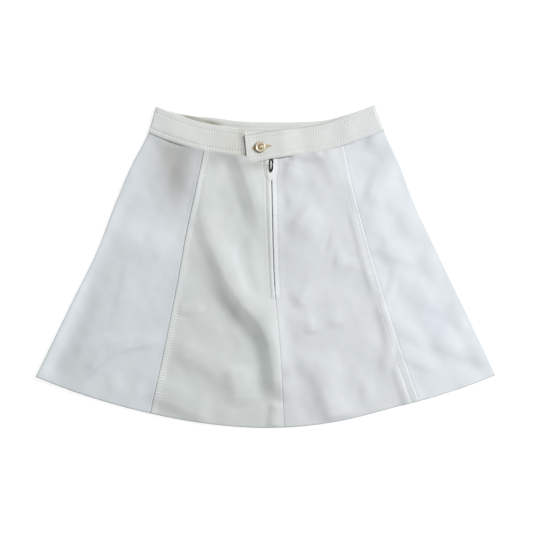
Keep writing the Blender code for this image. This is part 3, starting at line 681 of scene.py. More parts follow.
def edge_shade(x, run):
    """Share of its colour that a gore shows near its ends, as painted shade: darker in a thin line under the
    waistband, more so on the left, a little darker for a way below it, and darker in the last of the hem's
    fold, where its rounded edge faces away from the light."""
    left = 1 - fade(x, -60, 10)
    under = (0.08 + 0.12 * left) * bell(run, BAND_HEIGHT, 1.5)
    below = (0.035 + 0.055 * left) * bell(run, BAND_HEIGHT, 11)
    return 1 - under - below - 0.25 * fade(run, HEM_RUN - 1.6, HEM_RUN - 0.3)


def centre_columns(side, run, nearer, spread):
    """Angles of a centre gore's columns. They keep fixed distances from the opening and from the princess
    seam, and share the cloth between evenly."""
    row = PLACKET_STITCHES[side]
    from_slit = np.array([
        0, 0.2, 0.5, 0.9, 1.4, 2.1, 3, 4, row - 0.8, row - 0.35, row, row + 0.35, row + 0.8, 10.2, 12.2])
    from_seam = np.array([
        14.2, 12.4, 11.2, 10.3, 9.6, 9.0, 8.6, WELT_STITCHES, 7.8, 7.4, 6.6, 5.4, 4.2, 3.2, 2.4, 1.8, 1.3,
        0.9, 0.5, 0.22, 0])
    slit_side = line("zip_line", run) + side * to_angle(from_slit / nearer + slit_half(run), run)
    seam_side = princess_seam(side, run) - side * to_angle(from_seam * spread, run)
    shares = np.linspace(0, 1, 56)[1:-1]
    between = slit_side[:, -1:] + (seam_side[:, :1] - slit_side[:, -1:]) * shares
    return np.hstack([slit_side, between, seam_side])


def centre_relief(side, run, from_seam, from_slit, nearer, open_share):
    """Relief of a centre gore: its welt, the placket beside the opening or the seam below it, the stitches
    across the opening's end, the lines of the waistband and the hem, and the puckers of its stitching."""
    row = PLACKET_STITCHES[side]
    from_row = from_slit * nearer
    relief = profile(WELT[side], from_seam) * (1 - 0.3 * fade(run, 120, 250) * (side < 0))
    relief += profile(PLACKET[side], from_row) * open_share
    relief += profile(CENTRE_SEAM, from_slit) * (1 - open_share)
    relief -= 0.28 * bell(run, ZIP_END_RUN + PLACKET_END, 0.9) * (1 - fade(from_row, row, row + 1))
    relief += profile(BELOW_BAND, run - BAND_HEIGHT)
    relief += hem_line(run)
    every_run = run + np.zeros_like(from_seam)
    lively = 0.5 + 0.6 * fade(run, 190, 290)
    relief += lively * pucker(every_run, from_seam, WELT_STITCHES, seed=11 + side, strip=4.5)
    relief += pucker(every_run, from_row, row, seed=21 + side) * open_share
    return relief


def centre_thickness(run, from_seam, from_slit):
    """Thickness of a centre gore, thicker where the placket is turned in and thin at its princess seam."""
    turned = PLACKET_TURN * fade(from_slit, 5, 5.8) * (1 - fade(from_slit, 12, 12.8))
    turned = turned * (1 - fade(run, ZIP_END_RUN + TAPE_TAIL, ZIP_END_RUN + TAPE_TAIL + 2))
    thickness = CLOTH + hem_thickness(run) + turned
    return EDGE_CLOTH + (thickness - EDGE_CLOTH) * fade(from_seam, 1.2, 4.2)


def centre_shade(side, run, from_seam, from_slit, open_share):
    """Share of its colour that a centre gore shows, as painted light and shade: more on the left welt and on
    the opening's lip, less in the seam below the opening and beside the right welt."""
    welt = fade(from_seam, 0.8, 1.8) * (1 - fade(from_seam, 8, 11)) * (side < 0)
    lip = fade(from_slit, 0.5, 1.0) * (1 - fade(from_slit, 2.6, 3.8)) * open_share
    closed = bell(from_slit, 0, 1.3) * (1 - open_share)
    beside = 0.05 * bell(from_seam, 14.5, 5.5) * (side > 0) * fade(run, 100, 160)
    return 1 + (0.06 + 0.03 * fade(run, 230, 280)) * welt + 0.045 * lip - 0.09 * closed - beside


@lru_cache(maxsize=None)
def centre_gore(side):
    """A back centre gore. `side` is -1 left of the opening and 1 right of it."""
    run = panel_runs(CENTRE_ROWS)[:, None]
    nearer = PLACKET_NEARER if side < 0 else 1.0
    nearer = 1 + (nearer - 1) * fade(run, 105, 190) * (1 - fade(run, ZIP_END_RUN - 4, ZIP_END_RUN + 10))
    spread = 1 + WELT_SPREAD * (run / HEM_RUN) ** 2
    angle = centre_columns(side, run, nearer, spread)
    base = upper_grid(angle, run)
    outward = grid_normals(base)
    from_seam = side * to_across(princess_seam(side, run) - angle, run) / spread
    from_slit = side * to_across(angle - line("zip_line", run), run) - slit_half(run)
    open_share = 1 - fade(run, ZIP_END_RUN - 2, ZIP_END_RUN + 6)
    relief = centre_relief(side, run, from_seam, from_slit, nearer, open_share)
    drawn = fold_rounding(HEM_RUN - run, HEM_ROUND, 2 * CLOTH) * fade(from_seam, -0.5, 2)
    sunk = np.maximum(-profile(BELOW_BAND, run - BAND_HEIGHT), 0)
    thickness = centre_thickness(run, from_seam, from_slit)
    outer = base + outward * (relief - drawn * OUTER_DRAW)[..., None]
    inner = base - outward * (thickness + sunk - drawn * INNER_DRAW)[..., None]
    shade = centre_shade(side, run, from_seam, from_slit, open_share)
    return Cloth(outer, inner, outward, run, edge_shade(base[..., 0], run) * shade)


def side_fold(edge, run, side, top, turns):
    """Points round a side fold, from the upper layer's edge down to z = 0: half of a squared ellipse, whose
    sine and cosine are raised to the power of FOLD_SQUARE."""
    half = np.broadcast_to(top / 2, (len(run), 1))
    out = -FOLD_REACH * (1 - np.abs(np.cos(turns)) ** FOLD_SQUARE)
    x, y = place(edge + side * to_angle(out, run), run)
    return np.dstack([x, y, half * (1 + squared(np.sin(turns), FOLD_SQUARE))])


@lru_cache(maxsize=None)
def side_gore(side):
    """A side gore, from the back princess seam round the side fold to the front princess seam. Its relief
    dies away over the fold's upper half."""
    run = panel_runs(SIDE_ROWS)[:, None]
    seam = princess_seam(side, run)
    edge = line("left_fold" if side < 0 else "right_fold", run)
    inset = side * to_angle(FOLD_REACH, run)
    from_seam = np.array([-1.6, -0.6, 0, 0.3, 0.6, 0.9, 1.3, 1.8, 2.4, 3.4, 5, 7])
    seam_side = seam + side * to_angle(from_seam, run)
    shares = np.linspace(0, 1, 44)[1:]
    upper = np.hstack([seam_side, seam_side[:, -1:] + (edge - inset - seam_side[:, -1:]) * shares])
    shown = upper.shape[1] - 1
    upper_points = upper_grid(upper, run)
    turns = np.radians(np.linspace(90, -90, 19))
    half_fold = len(turns) // 2 + 1
    fold = side_fold(edge, run, side, upper_points[:, -1:, 2], turns)
    end = FRONT_SEAMS[side] + side * to_angle(GAP / 2, run)
    lower = even_grid(edge - inset + (end - edge + inset) * np.linspace(0, 1, 22), run, 0.0, front=True)
    base = np.hstack([upper_points[:, :-1], fold, lower[:, 1:]])
    outward = grid_normals(base)
    from_seam = side * to_across(upper - seam, run)
    upper_relief = profile(SEAM_SIDE, from_seam)
    upper_relief += profile(BELOW_BAND, run - BAND_HEIGHT) + hem_line(run)
    relief = np.zeros(base.shape[:2])
    relief[:, :shown] = upper_relief[:, :-1]
    relief[:, shown:shown + half_fold] = upper_relief[:, -1:] * np.linspace(1, 0, half_fold)
    on_floor = np.arange(base.shape[1]) > shown + len(turns) - 2
    drawn = fold_rounding(HEM_RUN - run, HEM_ROUND, 2 * CLOTH)
    sunk = np.maximum(-relief, 0) * ~on_floor
    thickness = CLOTH + hem_thickness(run) + sunk
    outer = base + outward * (relief - drawn * np.where(on_floor, 0, OUTER_DRAW))[..., None]
    inner = base - outward * (thickness - drawn * np.where(on_floor, 1, INNER_DRAW))[..., None]
    # Painted shade beside the left princess seam, where the gore tucks under the welt's rolled edge.
    tucked = np.zeros_like(relief)
    tucked[:, :shown + 1] = bell(from_seam, 2.5, 2.5) * (side < 0)
    tucked = tucked * (0.035 + 0.05 * (1 - fade(run, 120, 160)))
    return Cloth(outer, inner, outward, run, np.where(on_floor, 1, edge_shade(base[..., 0], run) - tucked))


def front_gore():
    """The front's centre gore, flat on its outer face."""
    run = panel_runs(FRONT_ROWS)[:, None]
    inset = to_angle(GAP / 2, run)
    left, right = FRONT_SEAMS[-1] + inset, FRONT_SEAMS[1] - inset
    outer = even_grid(left + (right - left) * np.linspace(0, 1, 70), run, 0.0, front=True)
    up = upward(outer)
    swell = undulation(outer[..., 0], outer[..., 1], height=0.12, length=45, seed=8)
    drawn = fold_rounding(HEM_RUN - run, HEM_ROUND, 2 * CLOTH)
    thickness = CLOTH + hem_thickness(run) + np.abs(swell) - drawn
    return Cloth(outer, outer + up * thickness[..., None], -up, run)


def rounded_corner(share, size):
    """How far a rounded corner cuts into a straight end, at a share of its size."""
    return size * (1 - np.sqrt(1 - (CORNER_ROUND * share) ** 2))


def tab_height(angle):
    """Height of the tab's face, which climbs onto the band's other end and curls up a little at its tip."""
    climbed = 1 - fade(angle, TAB_FLAT_FROM, TAB_FLAT_FROM + TAB_CLIMB)
    curled = np.clip((TAB_CURL_FROM - angle) / (TAB_CURL_FROM - to_angle(TAB_END_TOP, 0)), 0, 1)
    return BAND_TOP + TAB_LIFT * climbed + TAB_CURL * curled**2


def tab_places(share, run):
    """Angles, runs and heights of the waistband from its right-hand part onto the free end of its tab."""
    down = run / BAND_HEIGHT
    corner = np.clip((run - (BAND_HEIGHT - TAB_CORNER)) / TAB_CORNER, 0, 1)
    top_corner = np.clip(1 - run / TAB_TOP_CORNER, 0, 1)
    end = TAB_END_TOP + (TAB_END_BOTTOM - TAB_END_TOP) * down
    end = end + rounded_corner(corner, TAB_CORNER) + rounded_corner(top_corner, TAB_TOP_CORNER)
    start_angle = TAB_FLAT_FROM + TAB_CLIMB
    angle = start_angle + (to_angle(end, run) - start_angle) * share
    past = np.clip((TAB_DROP_FROM - angle) / (TAB_DROP_FROM - to_angle(TAB_END_TOP, 0)), 0, 1)
    tab_run = run + TAB_DROP * past**2 - TAB_NARROW * down * past**2
    tab_run = tab_run + TAB_LOWER * down**2 * past * (1.45 - past)
    tab_run = tab_run + TAB_DEEPER * down**2 * fade(past, 0.4, 0.85)
    return angle, tab_run, tab_height(angle) - TAB_SAG * fade(tab_run, *TAB_SAG_RUNS)


def tab_share(x, y):
    """0 on the waistband to the right of the opening, and 1 on its tab."""
    return fade(-angle_at(x, y), -6, 0)


def stitch_rows(on_tab):
    """Runs of the two rows of topstitching, which lie a little further apart on the tab."""
    return [band + (tab - band) * on_tab for band, tab in zip(BAND_STITCHES, TAB_STITCHES)]


def band_runs():
    """Runs of the waistband's rows, closest together in its folds and beside its topstitching."""
    turn = BAND_ROUND * (1 - np.sin(np.linspace(np.pi / 2, 0, 6)))
    middle = np.array([
        2.2, 3.2, 4.5, 5.6, 6.6, 7.4, 7.8, 8.2, 8.6, 9, 10, 12, 15, 19, 22, 25, 27.5, 29.2, 30.3, 30.8, 31.2,
        31.6, 32.1, 33, 34.2, 35.4, 36.4])
    return np.concatenate([turn, middle, BAND_LAST - turn[::-1]])[:, None]


def band_stretches(run):
    """Points of the waistband's stretches, and the angles of its tab. The stretches are the near left part,
    the left fold, the far part, the right fold, the near right part and the tab."""
    inset = to_angle(FOLD_REACH, run)
    left, right = line("left_fold", run), line("right_fold", run)
    turns = np.radians(np.linspace(90, -90, 17))
    near_left = UNDERLAP_END + (left + inset - UNDERLAP_END) * np.linspace(0, 1, 270)
    far = left + inset + (right - left - 2 * inset) * np.linspace(0, 1, 130)
    steep = 1 - (1 - np.linspace(0, 1, 110)) ** 1.35
    tab_angle, tab_run, height = tab_places(steep, run)
    near_right = right - inset + (tab_angle[:, :1] - right + inset) * np.linspace(0, 1, 190)
    return [
        even_grid(near_left, run, BAND_TOP)[:, :-1],
        side_fold(left, run, -1, BAND_TOP, turns),
        even_grid(far, run, 0.0, front=True)[:, 1:-1],
        side_fold(right, run, 1, BAND_TOP, turns)[:, ::-1],
        even_grid(near_right, run, BAND_TOP)[:, 1:-1],
        even_grid(tab_angle, tab_run, height),
    ], tab_angle


# The waistband before its relief: the run of each row, the points, the columns of its stretches, whether
# each column is near or far, and for each point its share of the tab, how far right of the tab's end it is
# and, on the tab, how far from that end.
BandForm = namedtuple(
    "BandForm", "run base near_left near_right far tab is_near is_far on_tab to_tab from_end")


def band_form():
    """One strip from its underlap, left round the skirt, to the tab over the opening."""
    run = band_runs()
    stretches, tab_angle = band_stretches(run)
    ends = np.cumsum([0] + [stretch.shape[1] for stretch in stretches])
    near_left, _, far, _, near_right, tab = (slice(*span) for span in zip(ends, ends[1:]))
    base = np.hstack(stretches)
    is_near, is_far = np.zeros((2, base.shape[1]), bool)
    for span in (near_left, near_right, tab):
        is_near[span] = True
    is_far[far] = True
    on_tab = np.zeros(base.shape[:2])
    on_tab[:, tab] = tab_share(base[:, tab, 0], base[:, tab, 1])
    to_tab = base[..., 0] - TAB_END_TOP - (TAB_END_BOTTOM - TAB_END_TOP) * run / BAND_HEIGHT + 0.4
    from_end = np.full(base.shape[:2], 50.0)
    from_end[:, tab] = to_across(tab_angle - tab_angle[:, -1:], run)
    return BandForm(run, base, near_left, near_right, far, tab, is_near, is_far, on_tab, to_tab, from_end)


def band_relief(form):
    """Relief of the waistband: its topstitching with its puckers, its slow swells, the swell against the
    tab's end and the stitches across that end."""
    run, x = form.run, form.base[..., 0]
    top, low = (row - band for row, band in zip(stitch_rows(form.on_tab), BAND_STITCHES))
    moved = np.where(run < BAND_PART, run - top, run - low)
    relief = profile(BAND, moved)
    middle = form.base[BAND_ROW]
    walked = np.cumsum(np.linalg.norm(np.diff(middle, axis=0, prepend=middle[:1]), axis=1))
    walked = walked + np.zeros_like(x)
    top_row, low_row = BAND_STITCHES
    relief += pucker(walked, moved, top_row, seed=41) + pucker(walked, moved, low_row, seed=42)
    swell = swells(BAND_SWELLS, x) * np.sin(np.pi * run / BAND_HEIGHT) * 0.9
    relief += (swell + undulation(walked, run, height=0.10, length=24, seed=43)) * form.is_near
    pressed = TAB_SWELL * bell(form.to_tab, 0, np.where(form.to_tab < 0, 6.5, 1.0)) * fade(run, 3, 9)
    relief[:, form.near_left] += pressed[:, form.near_left] * (1 - 0.6 * fade(run, 33, 38))
    across_tab = (run > TAB_STITCHES[0]) * (run < TAB_STITCHES[1])
    return relief - 0.28 * bell(form.from_end, TAB_END_STITCHES, 0.5) * across_tab


def band_drawn(form):
    """How far the waistband's faces draw in towards the folds at its edges, and more tightly at the tab's."""
    from_fold = np.minimum(form.run, BAND_LAST - form.run)
    drawn = fold_rounding(from_fold, BAND_ROUND, BAND_CLOTH)
    tightly = fold_rounding(np.minimum(from_fold, form.from_end), TAB_ROUND, BAND_CLOTH)
    return drawn + (tightly - drawn) * form.on_tab


def band_shade(form):
    """Share of its colour that the waistband shows, as painted light and shade: less in the hollow behind its
    near part and beside the tab's end, less along the near part's edges, and more along the tab's end and
    lower edge."""
    run, x = form.run, form.base[..., 0]
    above = edge_shift("front_rise", angle_at(x, form.base[..., 1])) - run
    hollow = swells(HOLLOW, x) * form.is_far * bell(above, 2.8, HOLLOW_HEIGHT)
    hollow[:, form.near_left] += 0.16 * bell(form.to_tab, -3, TAB_SHADOW)[:, form.near_left]
    low = (0.05 + 0.10 * (1 - fade(x, -70, 0)) * fade(x, -150, -110)) * fade(run, 34.8, 36.4)
    left = 0.05 * (1 - fade(x, -110, -70)) * (fade(run, 24, 30) + bell(run, 0, 3))
    top = 0.22 * fade(x, -30, -22) * (1 - fade(x, 90, 130)) * bell(run, 1.1, 1.3)
    rim = form.is_near * (low + left + top) * (1 - 0.5 * form.on_tab * (run > 20))
    rim = rim - form.on_tab * (0.16 * bell(form.from_end, 0, 1.2) + 0.10 * bell(run, BAND_LAST, 1.0))
    return 1 - hollow[..., None] * BROWN - rim[..., None]


@lru_cache(maxsize=None)
def waistband():
    """The waistband, and the form that it is made on. Both its faces draw in towards its folds. Its far
    part lies with its outer face flat on the surface, and has its relief on its inner face."""
    form = band_form()
    outward = grid_normals(form.base)
    relief, drawn = band_relief(form), band_drawn(form)
    droop = 0.7 + 0.8 * form.on_tab
    outer_relief = np.where(form.is_far, 0.0, relief - drawn * droop)
    inner_lift = np.where(form.is_far, relief - drawn * 1.6, -drawn * (2 - droop))
    outer = form.base + outward * outer_relief[..., None]
    inner = form.base - outward * (BAND_CLOTH + inner_lift)[..., None]
    return Cloth(outer, inner, outward, form.run, band_shade(form)), form


def quads(grid):
    """Corner indices of the quads between the rows and columns of a grid of point indices."""
    corners = grid[:-1, :-1], grid[:-1, 1:], grid[1:, 1:], grid[1:, :-1]
    return np.stack(corners, axis=-1).reshape(-1, 4)


def around(grid):
    """Indices round the rim of a grid of point indices."""
    return np.concatenate([grid[0, :-1], grid[:-1, -1], grid[-1, :0:-1], grid[:0:-1, 0]])


def enclosed_volume(points, polygons):
    """Volume within polygons, positive if they face outwards: the sum of the fans' signed wedges."""
    total = 0.0
    for group in polygons:
        for corner in range(1, group.shape[1] - 1):
            a, b, c = points[group[:, 0]], points[group[:, corner]], points[group[:, corner + 1]]
            total += np.einsum("ij,ij->", a, np.cross(b, c))
    return total


def patch_shade(cloth, x, y):
    """Share of its colour that a cloth shows at places, its painted light and shade: 1, and in each of its
    patches more or less by its shade, which fades with the distance from its middle as a bell curve."""
    total = np.ones((*x.shape, 3))
    for patch in PATCHES.get(cloth.removesuffix("_cloth"), ()):
        turn = np.radians(patch.turn)
        off_x, off_y = x - patch.across, y - (MIDDLE_Y - patch.down)
        wide = (off_x * np.cos(turn) - off_y * np.sin(turn)) / patch.wide
        long = (off_x * np.sin(turn) + off_y * np.cos(turn)) / patch.long
        total += np.exp(-(wide**2) - long**2)[..., None] * np.array(patch.shade)
    return total


def add_piece(name, points, polygons, finishes, uv=None, finish_of=None, shade=None):
    """An object from points in millimetres and arrays of polygons, each array with its own corner count.
    Its faces are turned outwards, and its UV map is in metres."""
    if enclosed_volume(points, polygons) < 0:
        polygons = [group[:, ::-1] for group in polygons]
    mesh = bpy.data.meshes.new(name)
    corners = np.concatenate([group.ravel() for group in polygons]).astype(np.int32)
    sizes = np.concatenate([np.full(len(group), group.shape[1]) for group in polygons])
    mesh.vertices.add(len(points))
    mesh.vertices.foreach_set("co", (points * MM).astype(np.float32).ravel())
    mesh.loops.add(len(corners))
    mesh.loops.foreach_set("vertex_index", corners)
    mesh.polygons.add(len(sizes))
    mesh.polygons.foreach_set("loop_start", (np.cumsum(sizes) - sizes).astype(np.int32))
    if finish_of is not None:
        mesh.polygons.foreach_set("material_index", finish_of.astype(np.int32))
    mesh.update(calc_edges=True)
    if uv is not None:
        layer = mesh.uv_layers.new(name="Cloth")
        layer.data.foreach_set("uv", (uv[corners] * MM).astype(np.float32).ravel())
    if shade is not None:
        colours = mesh.attributes.new("Shade", "FLOAT_COLOR", "POINT")
        opaque = np.column_stack([shade, np.ones(len(shade))])
        colours.data.foreach_set("color", opaque.astype(np.float32).ravel())
    for finish in finishes:
        mesh.materials.append(finish)
    mesh.shade_smooth()
    mesh.set_sharp_from_angle(angle=SHARPEST)
    made = bpy.data.objects.new(name, mesh)
    bpy.context.collection.objects.link(made)
    return made


def add_cloth(name, cloth, finish):
    """A closed shell from a cloth's two faces and a rim all round. Its UV map is the flat cut: across from
    the middle column along each row, and down by the run."""
    rows, columns = cloth.outer.shape[:2]
    front = np.arange(rows * columns).reshape(rows, columns)
    back = front + rows * columns
    rim_front, rim_back = around(front), around(back)
    rim = np.stack([rim_front, np.roll(rim_front, -1), np.roll(rim_back, -1), rim_back], axis=-1)
    points = np.concatenate([cloth.outer.reshape(-1, 3), cloth.inner.reshape(-1, 3)])
    steps = np.linalg.norm(np.diff(cloth.outer, axis=1), axis=-1)
    across = np.hstack([np.zeros((rows, 1)), np.cumsum(steps, axis=1)])
    across = across - across[:, columns // 2:columns // 2 + 1]
    flat = np.dstack([across, -cloth.run + np.zeros_like(across)]).reshape(-1, 2)
    faces = [np.concatenate([quads(front), quads(back)[:, ::-1], rim])]
    shade = np.asarray(cloth.shade)
    shade = (shade if shade.ndim == 3 else shade[..., None]) * np.ones((rows, columns, 3))
    shades = patch_shade(name, points[:, 0], points[:, 1]) * np.tile(shade.reshape(-1, 3), (2, 1))
    return add_piece(name, points, faces, [finish], uv=np.concatenate([flat, flat]), shade=shades)


def lay(piece, solids, body="skirt"):
    """Puts a finished piece in its solid's place."""
    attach(piece, body)
    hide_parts(*solids)


def sew_on(piece):
    """Adds a finished piece that has no solid of its own."""
    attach(piece, "skirt")


def loft(rings):
    """Points and polygons of a closed form carried through rings of equal count, with a pole at each end."""
    count, sides = rings.shape[:2]
    grid = np.arange(count * sides).reshape(count, sides)
    grid = np.hstack([grid, grid[:, :1]])
    poles = np.stack([rings[0].mean(axis=0), rings[-1].mean(axis=0)])
    first, last = count * sides, count * sides + 1
    caps = [
        np.stack([np.full(sides, first), grid[0, 1:], grid[0, :-1]], axis=-1),
        np.stack([np.full(sides, last), grid[-1, :-1], grid[-1, 1:]], axis=-1),
    ]
    return np.concatenate([rings.reshape(-1, 3), poles]), [quads(grid), np.concatenate(caps)]


def joined(parts):
    """One set of points and polygons from several, the polygons grouped by their corner count."""
    points = np.concatenate([part[0] for part in parts])
    starts = np.cumsum([0] + [len(part[0]) for part in parts])
    groups = {}
    for start, part in zip(starts, parts):
        flip = enclosed_volume(part[0], part[1]) < 0
        for group in part[1]:
            turned = group[:, ::-1] if flip else group
            groups.setdefault(group.shape[1], []).append(turned + start)
    return points, [np.concatenate(groups[size]) for size in sorted(groups)]


def resample(points, normals, starts, length, count):
    """Points and normals at `count` even places along each stretch of a path, from its starts."""
    walked = np.concatenate([[0], np.cumsum(np.linalg.norm(np.diff(points, axis=0), axis=1))])
    at = starts[:, None] + np.linspace(0, length, count)
    found = [np.interp(at, walked, values[:, axis]) for values in (points, normals) for axis in range(3)]
    return np.stack(found[:3], axis=-1), np.stack(found[3:], axis=-1)


def threads(points, normals, radius, bow, sink):
    """Short threads over the cloth. Each follows its row of points and is bowed: with t from -1 to 1 along
    it, its middle line stands off by bow less sink times t to the fourth, and it thins towards its ends."""
    count, along = points.shape[:2]
    sides = 6
    t = np.linspace(-1, 1, along)
    beside = unit(np.cross(unit(np.gradient(points, axis=1)), normals))
    middle = points + normals * (bow - sink * t**4)[:, None]
    thin = radius * (1 - 0.45 * t**6)
    turn = full_turn(sides)
    ring = beside[:, :, None] * np.cos(turn)[:, None] + normals[:, :, None] * np.sin(turn)[:, None]
    shape = middle[:, :, None] + ring * thin[:, None, None]
    index = np.arange(count * along * sides).reshape(count, along, sides)
    index = np.concatenate([index, index[:, :, :1]], axis=2)
    corners = index[:, :-1, :-1], index[:, :-1, 1:], index[:, 1:, 1:], index[:, 1:, :-1]
    walls = np.stack(corners, axis=-1).reshape(-1, 4)
    ends = np.concatenate([index[:, 0, :-1][:, ::-1], index[:, -1, :-1]])
    return shape.reshape(-1, 3), [walls, ends]


def topstitching(paths, seed):
    """Threads of topstitching along paths of (points, normals), a little uneven in place and slant."""
    sewing = bpy.context.scene.skirt_sewing
    stitch, space, thread = (value / MM for value in (sewing.stitch, sewing.space, sewing.thread))
    uneven = np.random.default_rng(seed)
    parts = []
    for points, normals in paths:
        length = np.linalg.norm(np.diff(points, axis=0), axis=1).sum()
        count = int(length / (stitch + space))
        starts = np.arange(count) * (stitch + space) + uneven.uniform(0, 0.25, count)
        places, up = resample(points, normals, starts, stitch, 6)
        beside = unit(np.cross(places[:, -1] - places[:, 0], up[:, 0]))
        moved = uneven.normal(0, 0.06, (count, 1))
        slant = uneven.normal(0, 0.05, (count, 1)) * np.linspace(-1, 1, 6)
        places = places + beside[:, None] * (moved + slant)[..., None]
        parts.append(threads(places, up, thread / 2, bow=thread * 0.32, sink=thread * 0.9))
    return joined(parts)


def feed(tree, made, inputs):
    """Sets a node's inputs to numbers, to colours or to other nodes' outputs. Underscores in an input's name
    stand for its spaces, and one before a number for the input of that number."""
    for name, value in inputs.items():
        socket = made.inputs[int(name[1:])] if name[0] == "_" else made.inputs[name.replace("_", " ")]
        if isinstance(value, bpy.types.NodeSocket):
            tree.links.new(value, socket)
        else:
            socket.default_value = value


def node(tree, kind, options=None, **inputs):
    made = tree.nodes.new(kind)
    for option, value in (options or {}).items():
        setattr(made, option, value)
    feed(tree, made, inputs)
    return made


def math(tree, operation, *values):
    inputs = {f"_{k}": value for k, value in enumerate(values)}
    return node(tree, "ShaderNodeMath", {"operation": operation}, **inputs).outputs[0]


def on_object(tree):
    """Place on the object, in metres."""
    return node(tree, "ShaderNodeTexCoord").outputs["Object"]


def noise(tree, at, scale, detail=3, roughness=0.5):
    made = node(tree, "ShaderNodeTexNoise", Vector=at, Scale=scale, Detail=detail, Roughness=roughness)
    return made.outputs["Fac"]


def sine_waves(tree, at, direction, length):
    """Sine waves of a length in metres along X or Y."""
    scale = WAVE_PERIOD / length
    made = node(tree, "ShaderNodeTexWave", {"bands_direction": direction}, Vector=at, Scale=scale)
    return made.outputs["Fac"]


def bumps(tree, height, depth, strength=0.5):
    return node(tree, "ShaderNodeBump", Strength=strength, Distance=depth, Height=height).outputs[0]


def ranged(tree, value, least, most):
    return node(tree, "ShaderNodeMapRange", Value=value, To_Min=least, To_Max=most).outputs[0]


def tinted(tree, colour, factor, darkest, lightest):
    """A colour varied from its darkest to its lightest share by a factor from 0 to 1. The shares are of
    every channel alike, or of each."""
    dark, light = (np.minimum(np.array(colour) * share, 1) for share in (darkest, lightest))
    return node(tree, "ShaderNodeMix", {"data_type": "RGBA"}, Factor=factor, _6=(*dark, 1),
                _7=(*light, 1)).outputs[2]


def make_finish(name, look, colour, **options):
    """A new material. `look` adds to its node tree, and returns the inputs of its shader."""
    made = bpy.data.materials.new(name)
    made.use_nodes = True
    tree = made.node_tree
    feed(tree, tree.nodes["Principled BSDF"], look(tree, colour, **options))
    return made


def knit(tree, colour):
    """Double knit on the cloth's own UV map. Each wale is a column of V-shaped stitches: the courses are
    sine waves whose rows bend down from the middle of a wale to its edges. The fibres stand off a little."""
    settings = bpy.context.scene.skirt_knit
    flat = node(tree, "ShaderNodeUVMap", {"uv_map": "Cloth"}).outputs[0]
    parts = node(tree, "ShaderNodeSeparateXYZ", Vector=flat)
    bend = math(tree, "PINGPONG", parts.outputs[0], settings.wale / 2)
    bent = math(tree, "MULTIPLY_ADD", bend, 0.9, parts.outputs[1])
    slanted = node(tree, "ShaderNodeCombineXYZ", X=parts.outputs[0], Y=bent).outputs[0]
    wales = sine_waves(tree, flat, "X", settings.wale)
    courses = sine_waves(tree, slanted, "Y", settings.course)
    stitches = math(tree, "MULTIPLY_ADD", wales, 0.6, math(tree, "MULTIPLY", courses, 0.4))
    fibres = noise(tree, flat, 1500, roughness=0.6)
    surface = math(tree, "MULTIPLY_ADD", fibres, 0.55, stitches)
    cloudy = math(tree, "MULTIPLY", noise(tree, flat, 14, roughness=0.55), 0.8)
    # Painted shade in the knit's hollows, where the stitches are low, with a cloudy tone over it.
    stitch_shade_and_tone = math(tree, "MULTIPLY_ADD", stitches, 0.28, cloudy)
    varied = tinted(tree, colour, stitch_shade_and_tone, (0.955, 0.965, 0.975), (1.03, 1.025, 1.015))
    # The Shade attribute holds each piece's painted light and shade.
    patches = node(tree, "ShaderNodeAttribute", {"attribute_name": "Shade"}).outputs["Color"]
    shaded = node(tree, "ShaderNodeMix", {"data_type": "RGBA", "blend_type": "MULTIPLY"}, Factor=1.0,
                  _6=varied, _7=patches).outputs[2]
    return dict(Base_Color=shaded, Normal=bumps(tree, surface, settings.relief, strength=0.55),
                Roughness=0.9, Specular_IOR_Level=0.25, Sheen_Weight=0.18, Sheen_Roughness=0.5)


def spun_thread(tree, colour):
    """Spun thread: fine light and dark fibres over its colour."""
    fibres = noise(tree, on_object(tree), 3200, detail=2)
    return dict(Base_Color=tinted(tree, colour, fibres, 0.86, 1.1), Normal=bumps(tree, fibres, 0.00006),
                Roughness=0.65, Sheen_Weight=0.2)


def tape_weave(tree, colour):
    """Woven zip tape: a plain weave from two crossed waves."""
    here = on_object(tree)
    weave = math(tree, "MULTIPLY", sine_waves(tree, here, "X", 0.0005), sine_waves(tree, here, "Y", 0.0005))
    return dict(Base_Color=tinted(tree, colour, weave, 0.88, 1.06), Normal=bumps(tree, weave, 0.00008),
                Roughness=0.75)


def enamel(tree, colour):
    """Glossy enamel, a little dulled and yellowed in patches."""
    worn = noise(tree, on_object(tree), 420, detail=4, roughness=0.6)
    return dict(Base_Color=tinted(tree, colour, worn, (0.93, 0.92, 0.88), 1.04),
                Roughness=ranged(tree, worn, 0.16, 0.38), Coat_Weight=0.4, Coat_Roughness=0.12)


def plating(tree, colour, roughest, metallic, shine=0.5):
    """Thin plating with fine scratches, which are noise drawn out along one direction."""
    here = on_object(tree)
    drawn = node(tree, "ShaderNodeMapping", Vector=here, Scale=(900, 5200, 900), Rotation=(0, 0, 0.6))
    scratches = noise(tree, drawn.outputs[0], 1)
    patches = noise(tree, here, 260)
    return dict(Base_Color=tinted(tree, colour, patches, (0.86, 0.82, 0.74), 1.08),
                Roughness=ranged(tree, scratches, 0.14, roughest), Metallic=metallic,
                Normal=bumps(tree, scratches, 0.00003, strength=0.25), Specular_IOR_Level=shine)


def shadow_black_metal(tree, colour):
    """Near-black dull metal, painted shade for the dark eye of the pull and the slots beside the bridge."""
    return plating(tree, colour, roughest=0.9, metallic=0.0, shine=0.06)


def plain_floor(tree, colour):
    """Matt white surface with the faintest grain, bright enough to read as paper white."""
    grain = noise(tree, on_object(tree), 300, detail=2)
    return dict(Base_Color=tinted(tree, colour, grain, 0.99, 1.01), Roughness=0.8,
                Emission_Color=(1, 1, 1, 1), Emission_Strength=0.84)


